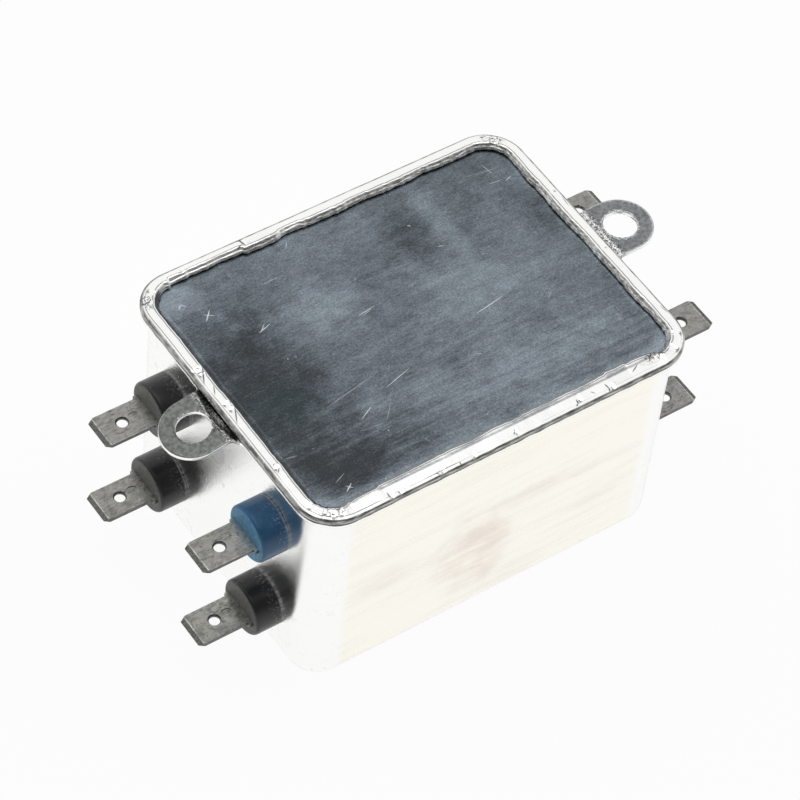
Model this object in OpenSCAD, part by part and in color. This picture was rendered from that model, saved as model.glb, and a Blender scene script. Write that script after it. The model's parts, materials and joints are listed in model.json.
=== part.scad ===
// EMI line filter: drawn steel housing with two mounting ears, hemmed closing plate, eight push-on
// terminals, and the choke, capacitors and board that the housing holds. Millimetres, Z up, origin
// at the middle of the closed end of the housing. +X runs from the line side to the load side.

/* [Rim] */
// Length of the rim along X
rim_l = 74.2; // [72:0.2:78]
// Width of the rim along Y
rim_w = 57.4; // [56:0.2:62]
// Corner radius of the rim
rim_r = 7.1; // [6.5:0.1:9]
// Overall height, closed end to the top of the rim
total_h = 44.8; // [44:0.2:50]
// How far the rim stands out past the walls
rim_over = 1.45; // [1.2:0.05:1.8]
// Height of the rolled rim above the flange
hem_h = 1.8; // [1.7:0.05:2.2]
// Distance from the rim's outer edge to its crest
hem_crest = 2; // [1.6:0.1:2.4]
// Rise of the rim's top from its outer corner to the crest
hem_rise = 0.33; // [0.15:0.03:0.36]
// Slope of the rolled-in edge, from the crest down to its free edge, in degrees
hem_slope = 42; // [36:1:55]
// Gap between the free edge and the plate
hem_gap = 0.1; // [0.05:0.05:0.2]
// Outside radius of the rim's bends
hem_bend_r = 0.5; // [0.5:0.05:0.6]
// Thickness of the closing plate
plate_t = 0.5; // [0.4:0.05:0.5]

/* [Housing] */
// Sheet thickness of the housing
can_t = 0.7; // [0.5:0.05:0.8]
// Outside radius of the closed end's edge
bottom_r = 3; // [2:0.25:4]
// Outside radius where the wall turns out into the flange
bend_r = 0.5; // [0.3:0.1:0.7]
// How far the flange's edge stops short of the rim's edge
flange_inset = 0.15; // [0.05:0.05:0.3]

/* [Mounting ears] */
// Distance between the two ear holes
ear_pitch = 83.6; // [83:0.2:88]
// Diameter of the ear holes
ear_hole_d = 5.8; // [4.2:0.1:6]
// Radius of the round end of the ears
ear_r = 5.65; // [5:0.05:6.5]
// Rise of the ears above the flange
ear_step = 0.7; // [0.4:0.05:1]
// Distance from the rim's edge to the start of the step
ear_step_x = 0.1; // [0.1:0.05:0.3]
// Length of the slope of the step
ear_step_l = 0.9; // [0.6:0.05:1]
// Fillet between the ear and the flange
ear_fillet = 1.5; // [0.8:0.1:2]

/* [Terminals] */
// Distance between the two terminals of a row
term_dy = 29.1; // [28:0.1:31]
// Height of the upper row's tabs
term_hi_z = 30.75; // [30:0.05:32]
// Height of the lower row's tabs
term_lo_z = 11.1; // [10:0.05:12]
// Diameter of the insulators outside the wall
ins_d = 10; // [9.4:0.1:11]
// Length of the insulators outside the wall
ins_l = 5; // [4:0.1:5.5]
// Rounding of the insulator's front edge
ins_edge = 0.7; // [0.4:0.1:1]
// Diameter of the insulator's neck in the wall
ins_neck_d = 8; // [7.4:0.1:8.4]
// Clearance between the neck and its hole, on the radius
ins_clear = 0.05; // [0.02:0.01:0.1]
// Diameter of the collar behind the wall
ins_collar_d = 9; // [8.6:0.1:9.6]
// Length of the collar behind the wall
ins_collar_l = 2; // [1.5:0.1:2.5]
// Width of the push-on tabs
tab_w = 6.35; // [6.2:0.05:6.4]
// Thickness of the push-on tabs
tab_t = 0.8; // [0.75:0.05:0.85]
// Length of the tab in front of the insulator
tab_l = 9.7; // [8:0.1:10]
// Length of the tab's cut corner along the tab
tab_cut_x = 1.1; // [0.8:0.1:1.4]
// Width of the tab's cut corner across the tab
tab_cut_y = 0.5; // [0.3:0.05:0.8]
// Length of the bevel at the tab's tip
tab_bevel_l = 0.9; // [0.6:0.1:1.2]
// Depth of the bevel at the tab's tip, each face
tab_bevel_t = 0.22; // [0.1:0.02:0.26]
// Distance from the tip to the tab's hole
tab_hole_x = 4.74; // [4:0.02:5]
// Diameter of the tab's hole
tab_hole_d = 1.9; // [1.7:0.05:2]
// Width of the countersink round the tab's hole
tab_sink = 0.2; // [0.1:0.05:0.3]
// Distance from the hole to the blind dimple
dimple_x = 2.45; // [2.4:0.05:2.7]
// Diameter of the blind dimple
dimple_d = 2.1; // [1.8:0.1:2.2]
// Depth of the blind dimple
dimple_t = 0.15; // [0.05:0.05:0.25]
// Width of the tab's shoulders
shoulder_w = 7.5; // [7:0.1:8]
// Length of the tab's shoulders
shoulder_l = 0.7; // [0.5:0.1:1]
// Width of the tab inside the insulator and the housing
stem_w = 4; // [3:0.1:5]
// Overlap of the wire hole by the end of the stem
stem_end = 1.6; // [1.3:0.1:2]

/* [Leads] */
// Diameter of the leads from the tabs to the board
lead_d = 1.5; // [1.2:0.1:1.6]
// Distance of the upper leads from the middle
lead_hi_x = 27; // [26.6:0.1:27.2]
// Distance of the lower leads from the middle
lead_lo_x = 29; // [28.8:0.1:29.2]

/* [Choke] */
// Outside diameter of the core
core_od = 32; // [30:0.5:33]
// Inside diameter of the core
core_id = 18; // [17:0.5:19]
// Height of the core
core_h = 12; // [10:0.5:12]
// Thickness of a winding round the core
wind_t = 1.6; // [1.2:0.1:1.8]
// Part of the turn that one winding covers
wind_angle = 58; // [50:1:64]
// Diameter of the winding's ends
wind_end_d = 1.2; // [1:0.1:1.4]
// Angle between the two ends of a winding
wind_end_angle = 44; // [36:1:46]
// Length of the carrier's base
carrier_l = 52; // [50:1:56]
// Width of the carrier's base
carrier_w = 44; // [42:1:46]
// Thickness of the carrier's base
carrier_t = 2; // [1.5:0.1:2]
// Thickness of the divider between the windings
divider_t = 1.2; // [1:0.1:1.6]
// Width of the ledges under the core
ledge_w = 3; // [2.4:0.1:3.4]
// Diameter of the posts that carry the board
post_d = 5; // [4:0.1:5.4]
// Distance of the posts from the middle along X
post_x = 23; // [22.8:0.1:23.2]
// Distance of the posts from the middle along Y
post_y = 19; // [18.8:0.1:19.2]
// Depth of the potting on the floor
potting_t = 3.3; // [3:0.1:3.6]

/* [Board] */
// Length of the board
board_l = 61; // [60.6:0.1:62]
// Width of the board
board_w = 46; // [45:0.5:48]
// Thickness of the board
board_t = 1.6; // [1.2:0.1:1.6]
// Clearance of a wire in its hole, on the radius
wire_clear = 0.05; // [0.03:0.01:0.08]
// Height of the board's underside
board_z = 24; // [24:0.1:24.4]

/* [Parts on the board] */
// Length of the X capacitors
xcap_l = 18; // [17:0.5:18]
// Thickness of the X capacitors
xcap_w = 7; // [6:0.5:8]
// Clearance between the X capacitors and the insulating sheet
xcap_gap = 4; // [2:0.5:6]
// Rounding of the X capacitors' upright edges
xcap_r = 0.8; // [0.4:0.1:1.2]
// Distance between neighbouring X capacitors
xcap_dy = 14; // [13.8:0.1:14.2]
// Distance between the pins of an X capacitor
xcap_pitch = 15; // [14:0.5:15]
// Diameter of the component pins
pin_d = 0.8; // [0.6:0.05:0.9]
// How far the pins reach below the board
pin_out = 1.2; // [0.8:0.1:1.4]
// Diameter of the Y capacitors
ycap_d = 8; // [7:0.5:8.5]
// Thickness of the Y capacitors
ycap_t = 3.2; // [2.6:0.1:3.6]
// Distance of the Y capacitors from the middle along X
ycap_x = 17; // [16.6:0.1:17.2]
// Distance of the Y capacitors from the middle along Y
ycap_y = 7.6; // [7.4:0.1:7.8]
// Distance between the pins of a Y capacitor
ycap_pitch = 5; // [4.5:0.5:5]
// Diameter of the bleed resistors
res_d = 3; // [2.4:0.1:3.2]
// Length of the bleed resistors
res_l = 8; // [7:0.5:9]
// Distance between the pins of a bleed resistor
res_pitch = 12; // [11.6:0.2:12.4]
// Distance of the two outer resistors from the middle along X
res_x = 22.5; // [22.4:0.1:22.6]
// Distance of the third resistor from the middle along Y
res_y = 20; // [19.9:0.1:20.2]

/* [Earth strap and sheet] */
// Width of the earth strap
strap_w = 4; // [3:0.1:4.5]
// Thickness of the earth strap
strap_t = 0.5; // [0.4:0.05:0.6]
// Place of the earth strap along X
strap_x = 17; // [16.5:0.1:17.5]
// Length of the strap on the wall
strap_wall = 8; // [6:0.5:10]
// Length of the strap from the wall over the board
strap_in = 7; // [6:0.5:7.5]
// Thickness of the insulating sheet
sheet_t = 0.4; // [0.2:0.05:0.5]
// Gap between the insulating sheet and the wall
sheet_clear = 0.1; // [0.05:0.05:0.2]

/* [Hidden] */
$fn = 48;
eps = 0.01;
wall_r = rim_r - rim_over;
wall_x = rim_l / 2 - rim_over;
wall_y = rim_w / 2 - rim_over;
core_x = rim_l / 2 - rim_r;
core_y = rim_w / 2 - rim_r;
flange_top = total_h - hem_h;
flange_z = flange_top - can_t;
plate_top = flange_top + plate_t;
corner_x = rim_r - hem_bend_r;
corner_z = total_h - hem_bend_r - hem_rise;
crest_x = rim_r - hem_crest;
crest_z = total_h - hem_bend_r;
crown = atan(hem_rise / (corner_x - crest_x));
ear_x = ear_pitch / 2;
ear_tip = ear_x + ear_r;
step_x0 = rim_l / 2 + ear_step_x;
step_x1 = step_x0 + ear_step_l;
ins_hole_d = ins_neck_d + 2 * ins_clear;
ins_front = wall_x + ins_l;
ins_back = wall_x - can_t - ins_collar_l;
tab_tip = ins_front + tab_l;
tab_hole = tab_tip - tab_hole_x;
dimple = tab_hole - dimple_x;
inner_y = wall_y - can_t;
potting_top = can_t + potting_t;
carrier_top = potting_top + carrier_t;
core_z = carrier_top + wind_t;
wind_top = core_z + core_h + wind_t;
board_top = board_z + board_t;
xcap_h = flange_top - sheet_t - xcap_gap - board_top;
wind_end_r = core_od / 2 + wind_t / 2;
wind_mid = 45;
quarter = 90;
steel = [0.8, 0.81, 0.8];
plate_steel = [0.42, 0.45, 0.48];
tab_metal = [0.56, 0.55, 0.51];
black_plastic = [0.06, 0.06, 0.065];
blue_plastic = [0.1, 0.33, 0.5];
resin_black = [0.09, 0.09, 0.1];
carrier_plastic = [0.86, 0.84, 0.78];
ferrite = [0.2, 0.2, 0.22];
copper = [0.74, 0.42, 0.22];
board_green = [0.12, 0.34, 0.2];
film_yellow = [0.86, 0.72, 0.22];
disc_blue = [0.16, 0.36, 0.66];
resistor_tan = [0.76, 0.66, 0.48];
fibre = [0.5, 0.52, 0.44];

// Sweep a profile (X out from the corner's axis, Y up) round the rounded rectangle of the rim
module around() {
    for (turn = [0, 2 * quarter]) rotate([0, 0, turn]) {
        translate([core_x, core_y, 0]) rotate([quarter, 0, 0]) linear_extrude(2 * core_y) children();
        translate([core_x, core_y, 0]) rotate_extrude(angle = quarter) children();
        rotate([0, 0, quarter]) translate([core_y, core_x, 0]) rotate([quarter, 0, 0])
            linear_extrude(2 * core_x) children();
        translate([-core_x, core_y, 0]) rotate([0, 0, quarter])
            rotate_extrude(angle = quarter) children();
    }
}

// Fill the middle of the rounded rectangle between two heights
module middle(z0, z1) {
    translate([-core_x - eps, -core_y - eps, z0])
        cube([2 * core_x + 2 * eps, 2 * core_y + 2 * eps, z1 - z0]);
}

// Quarter of a ring between two radii, in the quadrant given by the signs
module quarter_ring(r_out, r_in, sx, sy) {
    intersection() {
        difference() {
            circle(r_out);
            circle(r_in);
        }
        translate([sx < 0 ? -r_out : 0, sy < 0 ? -r_out : 0]) square(r_out);
    }
}

// Section of the housing: floor, bottom bend, wall, bend and flange
module housing_section() {
    square([wall_r - bottom_r, can_t]);
    translate([wall_r - bottom_r, bottom_r]) quarter_ring(bottom_r, bottom_r - can_t, 1, -1);
    translate([wall_r - can_t, bottom_r]) square([can_t, flange_z - bend_r - bottom_r]);
    translate([wall_r + bend_r, flange_z - bend_r]) quarter_ring(bend_r + can_t, bend_r, -1, 1);
    translate([wall_r + bend_r, flange_z]) square([rim_over - flange_inset - bend_r, can_t]);
}

// Plan of one ear with the fillets into the flange
module ear_plan() {
    difference() {
        union() {
            translate([ear_x, 0]) circle(ear_r);
            translate([wall_x, -ear_r]) square([ear_x - wall_x, 2 * ear_r]);
            for (s = [-1, 1]) difference() {
                translate([wall_x, s > 0 ? ear_r : -ear_r - ear_fillet])
                    square([rim_over - flange_inset + ear_fillet, ear_fillet]);
                translate([rim_l / 2 - flange_inset + ear_fillet, s * (ear_r + ear_fillet)])
                    circle(ear_fillet);
            }
        }
        translate([ear_x, 0]) circle(d = ear_hole_d);
    }
}

// Side view of one ear: flange level, slope, raised flat
module ear_side() {
    polygon([
        [wall_x, flange_z], [step_x0, flange_z], [step_x1, flange_z + ear_step],
        [ear_tip + ear_r, flange_z + ear_step], [ear_tip + ear_r, flange_top + ear_step],
        [step_x1, flange_top + ear_step], [step_x0, flange_top], [wall_x, flange_top]
    ]);
}

module ear() {
    intersection() {
        translate([0, 0, flange_z - can_t]) linear_extrude(3 * can_t + ear_step) ear_plan();
        translate([0, ear_r + ear_fillet, 0]) rotate([quarter, 0, 0])
            linear_extrude(2 * (ear_r + ear_fillet)) ear_side();
    }
}

// Holes for the insulators in one short wall
module terminal_holes() {
    for (y = [-term_dy / 2, term_dy / 2], z = [term_lo_z, term_hi_z])
        translate([wall_x - 2 * can_t, y, z]) rotate([0, quarter, 0])
            cylinder(h = 3 * can_t, d = ins_hole_d);
}

module housing() {
    color(steel) difference() {
        union() {
            around() housing_section();
            middle(0, can_t);
            for (turn = [0, 2 * quarter]) rotate([0, 0, turn]) ear();
        }
        for (turn = [0, 2 * quarter]) rotate([0, 0, turn]) terminal_holes();
    }
}

// Sector of a bend at a point, between two directions measured from the vertical
module bend(x, z, from, to) {
    reach = 2 * hem_bend_r;
    translate([x, z]) intersection() {
        circle(hem_bend_r);
        polygon([
            [0, 0], reach * [sin(from), cos(from)],
            reach * [sin((from + to) / 2), cos((from + to) / 2)], reach * [sin(to), cos(to)]
        ]);
    }
}

// Section of the closing plate: sheet, upright side, crowned top and rolled-in edge
module plate_section() {
    inner_r = hem_bend_r - plate_t;
    tilt = (crown - hem_slope) / 2;
    fold = inner_r / cos((crown + hem_slope) / 2);
    fold_x = crest_x + fold * sin(tilt);
    fold_z = crest_z + fold * cos(tilt);
    side_x = rim_r - plate_t;
    lip_l = (fold_z - plate_top - hem_gap) / sin(hem_slope);
    lip_x = fold_x - lip_l * cos(hem_slope);
    lip_z = fold_z - lip_l * sin(hem_slope);
    translate([0, flange_top]) square([corner_x, plate_t]);
    bend(corner_x, flange_top + hem_bend_r, quarter, 2 * quarter);
    bend(corner_x, corner_z, crown, quarter);
    bend(crest_x, crest_z, -hem_slope, crown);
    polygon([
        [rim_r, flange_top + hem_bend_r], [rim_r, corner_z],
        [corner_x + hem_bend_r * sin(crown), corner_z + hem_bend_r * cos(crown)],
        [crest_x + hem_bend_r * sin(crown), crest_z + hem_bend_r * cos(crown)],
        [crest_x - hem_bend_r * sin(hem_slope), crest_z + hem_bend_r * cos(hem_slope)],
        [lip_x - plate_t * sin(hem_slope), lip_z + plate_t * cos(hem_slope)],
        [lip_x, lip_z], [fold_x, fold_z],
        [side_x, fold_z - (side_x - fold_x) * tan(crown)], [side_x, flange_top + hem_bend_r]
    ]);
}

module closing_plate() {
    color(plate_steel) {
        around() plate_section();
        middle(flange_top, plate_top);
    }
}

module insulating_sheet() {
    color(fibre) {
        around() translate([0, flange_top - sheet_t]) square([wall_r - can_t - sheet_clear, sheet_t]);
        middle(flange_top - sheet_t, flange_top);
    }
}

// Section of the potting, which follows the inside of the housing
module potting_section() {
    translate([0, can_t]) square([wall_r - bottom_r, potting_t]);
    translate([wall_r - bottom_r, bottom_r]) quarter_ring(bottom_r - can_t, 0, 1, -1);
    translate([0, bottom_r]) square([wall_r - can_t, potting_top - bottom_r]);
}

module potting() {
    color(resin_black) {
        around() potting_section();
        middle(can_t, potting_top);
    }
}

module choke_carrier() {
    color(carrier_plastic) {
        translate([-carrier_l / 2, -carrier_w / 2, potting_top]) cube([carrier_l, carrier_w, carrier_t]);
        intersection() {
            for (turn = [0, quarter]) rotate([0, 0, turn])
                translate([-core_id / 2, -divider_t / 2, potting_top])
                    cube([core_id, divider_t, wind_top - potting_top]);
            translate([0, 0, potting_top]) cylinder(h = wind_top - potting_top, d = core_id);
        }
        for (turn = [0, quarter]) rotate([0, 0, turn])
            translate([-core_od / 2, -ledge_w / 2, potting_top])
                cube([core_od, ledge_w, core_z - potting_top]);
        for (x = [-post_x, post_x], y = [-post_y, post_y])
            translate([x, y, potting_top]) cylinder(h = board_z - potting_top, d = post_d);
    }
}

module choke_core() {
    color(ferrite) translate([0, 0, core_z]) rotate_extrude()
        translate([core_id / 2, 0]) square([(core_od - core_id) / 2, core_h]);
}

// Section of a winding: a band with round corners that fits close round the core
module winding_section() {
    band_r = (core_od - core_id) / 2;
    difference() {
        union() {
            translate([core_id / 2 - wind_t, 0]) square([band_r + 2 * wind_t, core_h]);
            translate([core_id / 2, -wind_t]) square([band_r, core_h + 2 * wind_t]);
            for (x = [core_id / 2, core_od / 2], y = [0, core_h]) translate([x, y]) circle(wind_t);
        }
        translate([core_id / 2, 0]) square([band_r, core_h]);
    }
}

module winding(quadrant) {
    rotate([0, 0, quadrant * quarter + wind_mid]) {
        translate([0, 0, core_z]) rotate([0, 0, -wind_angle / 2])
            rotate_extrude(angle = wind_angle) winding_section();
        for (s = [-1, 1]) rotate([0, 0, s * wind_end_angle / 2])
            translate([wind_end_r, 0, core_z + core_h / 2])
                cylinder(h = board_top - core_z - core_h / 2, d = wind_end_d);
    }
}

module winding_l1() { color(copper) winding(1); }
module winding_l2() { color(copper) winding(0); }
module winding_l3() { color(copper) winding(3); }
module winding_n() { color(copper) winding(2); }

// One upright hole through the board
module board_hole(x, y, d) {
    translate([x, y, board_z - eps]) cylinder(h = board_t + 2 * eps, d = d + 2 * wire_clear);
}

module circuit_board() {
    color(board_green) difference() {
        translate([-board_l / 2, -board_w / 2, board_z]) cube([board_l, board_w, board_t]);
        for (s = [-1, 1]) {
            for (x = [lead_hi_x, lead_lo_x], y = [-term_dy / 2, term_dy / 2]) board_hole(s * x, y, lead_d);
            for (k = [-1, 0, 1]) board_hole(s * xcap_pitch / 2, k * xcap_dy, pin_d);
            for (y = [-ycap_y, ycap_y], t = [-1, 1]) board_hole(s * ycap_x, y + t * ycap_pitch / 2, pin_d);
            for (t = [-1, 1]) board_hole(s * res_x, t * res_pitch / 2, pin_d);
            board_hole(s * res_pitch / 2, res_y, pin_d);
        }
        for (k = [0:3], s = [-1, 1]) rotate([0, 0, k * quarter + wind_mid + s * wind_end_angle / 2])
            board_hole(wind_end_r, 0, wind_end_d);
    }
}

// Pin from a component's body down through the board
module pin(x, y) {
    translate([x, y, board_z - pin_out]) cylinder(h = board_t + pin_out + eps, d = pin_d);
}

module x_capacitor(row) {
    translate([0, row * xcap_dy, 0]) {
        translate([0, 0, board_top]) linear_extrude(xcap_h) {
            translate([-xcap_l / 2 + xcap_r, -xcap_w / 2]) square([xcap_l - 2 * xcap_r, xcap_w]);
            translate([-xcap_l / 2, -xcap_w / 2 + xcap_r]) square([xcap_l, xcap_w - 2 * xcap_r]);
            for (x = [-1, 1], y = [-1, 1])
                translate([x * (xcap_l / 2 - xcap_r), y * (xcap_w / 2 - xcap_r)]) circle(xcap_r);
        }
        for (s = [-1, 1]) pin(s * xcap_pitch / 2, 0);
    }
}

module x_capacitor_l1() { color(film_yellow) x_capacitor(1); }
module x_capacitor_l2() { color(film_yellow) x_capacitor(0); }
module x_capacitor_l3() { color(film_yellow) x_capacitor(-1); }

module y_capacitor(sx, sy) {
    translate([sx * ycap_x, sy * ycap_y, 0]) {
        translate([-ycap_t / 2, 0, board_top + ycap_d / 2]) rotate([0, quarter, 0])
            cylinder(h = ycap_t, d = ycap_d);
        for (s = [-1, 1]) translate([0, s * ycap_pitch / 2, board_z - pin_out])
            cylinder(h = board_t + pin_out + ycap_d / 2, d = pin_d);
    }
}

module y_capacitor_l1() { color(disc_blue) y_capacitor(-1, 1); }
module y_capacitor_l2() { color(disc_blue) y_capacitor(1, 1); }
module y_capacitor_l3() { color(disc_blue) y_capacitor(1, -1); }
module y_capacitor_n() { color(disc_blue) y_capacitor(-1, -1); }

// Resistor lying along X over the middle, with bent-down wires
module resistor() {
    translate([-res_l / 2, 0, board_top + res_d / 2]) rotate([0, quarter, 0])
        cylinder(h = res_l, d = res_d);
    translate([-res_pitch / 2, 0, board_top + res_d / 2]) rotate([0, quarter, 0])
        cylinder(h = res_pitch, d = pin_d);
    for (s = [-1, 1]) {
        translate([s * res_pitch / 2, 0, board_top + res_d / 2]) sphere(d = pin_d);
        translate([s * res_pitch / 2, 0, board_z - pin_out])
            cylinder(h = board_t + pin_out + res_d / 2, d = pin_d);
    }
}

// Resistor lying along Y beside the capacitors, on the side given by the sign
module end_resistor(side) {
    translate([side * res_x, 0, 0]) rotate([0, 0, quarter]) resistor();
}

module bleed_resistor_l1() { color(resistor_tan) end_resistor(-1); }
module bleed_resistor_l2() { color(resistor_tan) translate([0, res_y, 0]) resistor(); }
module bleed_resistor_l3() { color(resistor_tan) end_resistor(1); }

module earth_strap() {
    color(steel) translate([strap_x - strap_w / 2, 0, 0]) {
        translate([0, inner_y - strap_t, board_top]) cube([strap_w, strap_t, strap_wall]);
        translate([0, inner_y - strap_in, board_top]) cube([strap_w, strap_in, strap_t]);
    }
}

// Put a terminal part, drawn pointing along +X, in its place on one short wall
module place(side, row, z) {
    translate([0, row * term_dy / 2, z]) rotate([0, 0, side > 0 ? 0 : 2 * quarter]) children();
}

// Insulator pointing along +X, with the slot that its tab is moulded into
module insulator() {
    difference() {
        rotate([0, quarter, 0]) rotate_extrude() {
            translate([0, ins_back]) square([ins_collar_d / 2, ins_collar_l]);
            translate([0, ins_back]) square([ins_neck_d / 2, ins_front - ins_back - ins_edge]);
            translate([0, wall_x]) square([ins_d / 2, ins_l - ins_edge]);
            translate([0, wall_x]) square([ins_d / 2 - ins_edge, ins_l]);
            translate([ins_d / 2 - ins_edge, ins_front - ins_edge]) circle(ins_edge);
        }
        translate([ins_back - eps, -stem_w / 2, -tab_t / 2])
            cube([ins_front - ins_back + 2 * eps, stem_w, tab_t]);
    }
}

module line_l1_insulator() { color(black_plastic) place(-1, 1, term_hi_z) insulator(); }
module line_l2_insulator() { color(black_plastic) place(-1, 1, term_lo_z) insulator(); }
module line_l3_insulator() { color(black_plastic) place(-1, -1, term_lo_z) insulator(); }
module line_n_insulator() { color(blue_plastic) place(-1, -1, term_hi_z) insulator(); }
module load_l1_insulator() { color(black_plastic) place(1, 1, term_hi_z) insulator(); }
module load_l2_insulator() { color(black_plastic) place(1, 1, term_lo_z) insulator(); }
module load_l3_insulator() { color(black_plastic) place(1, -1, term_lo_z) insulator(); }
module load_n_insulator() { color(blue_plastic) place(1, -1, term_hi_z) insulator(); }

// Plan of the tab from its shoulders to the tip
module tab_plan(wire_x) {
    polygon([
        [ins_front, -tab_w / 2], [tab_tip - tab_cut_x, -tab_w / 2], [tab_tip, -tab_w / 2 + tab_cut_y],
        [tab_tip, tab_w / 2 - tab_cut_y], [tab_tip - tab_cut_x, tab_w / 2], [ins_front, tab_w / 2]
    ]);
    translate([ins_front, -shoulder_w / 2]) square([shoulder_l, shoulder_w]);
    translate([wire_x - stem_end, -stem_w / 2]) square([ins_front - wire_x + stem_end, stem_w]);
}

// Side view of the tab: flat, with both faces bevelled down to the tip
module tab_side(wire_x) {
    polygon([
        [wire_x - stem_end, -tab_t / 2], [tab_tip - tab_bevel_l, -tab_t / 2],
        [tab_tip, -tab_t / 2 + tab_bevel_t], [tab_tip, tab_t / 2 - tab_bevel_t],
        [tab_tip - tab_bevel_l, tab_t / 2], [wire_x - stem_end, tab_t / 2]
    ]);
}

// Tab pointing along +X, with its hole, dimple and wire hole
module tab(wire_x) {
    difference() {
        intersection() {
            translate([0, 0, -tab_t]) linear_extrude(2 * tab_t) tab_plan(wire_x);
            translate([0, shoulder_w / 2, 0]) rotate([quarter, 0, 0])
                linear_extrude(shoulder_w) tab_side(wire_x);
        }
        translate([tab_hole, 0, -tab_t]) cylinder(h = 2 * tab_t, d = tab_hole_d);
        for (turn = [0, 2 * quarter]) translate([tab_hole, 0, 0]) rotate([turn, 0, 0])
            translate([0, 0, -tab_t / 2 - eps])
                cylinder(h = tab_sink + eps, r1 = tab_hole_d / 2 + tab_sink + eps, r2 = tab_hole_d / 2);
        translate([dimple, 0, tab_t / 2 - dimple_t]) cylinder(h = tab_t, d = dimple_d);
        translate([wire_x, 0, -tab_t]) cylinder(h = 2 * tab_t, d = lead_d);
    }
}

module line_l1_tab() { color(tab_metal) place(-1, 1, term_hi_z) tab(lead_hi_x); }
module line_l2_tab() { color(tab_metal) place(-1, 1, term_lo_z) tab(lead_lo_x); }
module line_l3_tab() { color(tab_metal) place(-1, -1, term_lo_z) tab(lead_lo_x); }
module line_n_tab() { color(tab_metal) place(-1, -1, term_hi_z) tab(lead_hi_x); }
module load_l1_tab() { color(tab_metal) place(1, 1, term_hi_z) tab(lead_hi_x); }
module load_l2_tab() { color(tab_metal) place(1, 1, term_lo_z) tab(lead_lo_x); }
module load_l3_tab() { color(tab_metal) place(1, -1, term_lo_z) tab(lead_lo_x); }
module load_n_tab() { color(tab_metal) place(1, -1, term_hi_z) tab(lead_hi_x); }

// Upright lead between the board and the wire hole of an upper tab
module upper_lead(side, row) {
    translate([side * lead_hi_x, row * term_dy / 2, board_z])
        cylinder(h = term_hi_z + tab_t / 2 - board_z, d = lead_d);
}

// Upright lead between the wire hole of a lower tab and the board
module lower_lead(side, row) {
    translate([side * lead_lo_x, row * term_dy / 2, term_lo_z - tab_t / 2])
        cylinder(h = board_top - term_lo_z + tab_t / 2, d = lead_d);
}

module line_l1_lead() { color(copper) upper_lead(-1, 1); }
module line_l2_lead() { color(copper) lower_lead(-1, 1); }
module line_l3_lead() { color(copper) lower_lead(-1, -1); }
module line_n_lead() { color(copper) upper_lead(-1, -1); }
module load_l1_lead() { color(copper) upper_lead(1, 1); }
module load_l2_lead() { color(copper) lower_lead(1, 1); }
module load_l3_lead() { color(copper) lower_lead(1, -1); }
module load_n_lead() { color(copper) upper_lead(1, -1); }

housing();
closing_plate();
insulating_sheet();
potting();
choke_carrier();
choke_core();
winding_l1();
winding_l2();
winding_l3();
winding_n();
circuit_board();
x_capacitor_l1();
x_capacitor_l2();
x_capacitor_l3();
y_capacitor_l1();
y_capacitor_l2();
y_capacitor_l3();
y_capacitor_n();
bleed_resistor_l1();
bleed_resistor_l2();
bleed_resistor_l3();
earth_strap();
line_l1_insulator();
line_l2_insulator();
line_l3_insulator();
line_n_insulator();
load_l1_insulator();
load_l2_insulator();
load_l3_insulator();
load_n_insulator();
line_l1_tab();
line_l2_tab();
line_l3_tab();
line_n_tab();
load_l1_tab();
load_l2_tab();
load_l3_tab();
load_n_tab();
line_l1_lead();
line_l2_lead();
line_l3_lead();
line_n_lead();
load_l1_lead();
load_l2_lead();
load_l3_lead();
load_n_lead();
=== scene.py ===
import json
import math

import bmesh
import bpy
import numpy as np
from mathutils import Matrix, Vector
from mathutils.geometry import delaunay_2d_cdt


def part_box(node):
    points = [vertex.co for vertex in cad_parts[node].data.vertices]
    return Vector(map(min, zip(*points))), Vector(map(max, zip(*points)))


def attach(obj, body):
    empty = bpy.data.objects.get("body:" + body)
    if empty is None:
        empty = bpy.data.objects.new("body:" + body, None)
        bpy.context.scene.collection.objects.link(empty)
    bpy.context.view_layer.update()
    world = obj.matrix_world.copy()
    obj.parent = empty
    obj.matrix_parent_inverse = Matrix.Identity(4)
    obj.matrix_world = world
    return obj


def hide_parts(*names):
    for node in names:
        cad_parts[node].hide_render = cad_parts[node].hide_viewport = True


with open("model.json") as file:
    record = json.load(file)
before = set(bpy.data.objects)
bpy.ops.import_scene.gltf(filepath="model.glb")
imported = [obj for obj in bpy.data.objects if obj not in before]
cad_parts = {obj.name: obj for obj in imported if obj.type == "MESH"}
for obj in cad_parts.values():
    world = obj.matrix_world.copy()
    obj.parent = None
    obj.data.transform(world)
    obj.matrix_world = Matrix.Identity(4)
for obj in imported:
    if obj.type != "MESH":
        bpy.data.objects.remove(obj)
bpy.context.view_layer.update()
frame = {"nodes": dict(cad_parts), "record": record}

bl_info = {
    "name": "Line filter dressing",
    "version": (1, 0, 0),
    "blender": (4, 5, 0),
    "location": "View3D > Sidebar > Line filter",
    "description": "Formed sheet metal, terminals and finishes for a chassis mounted line filter",
    "category": "Object",
}

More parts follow.
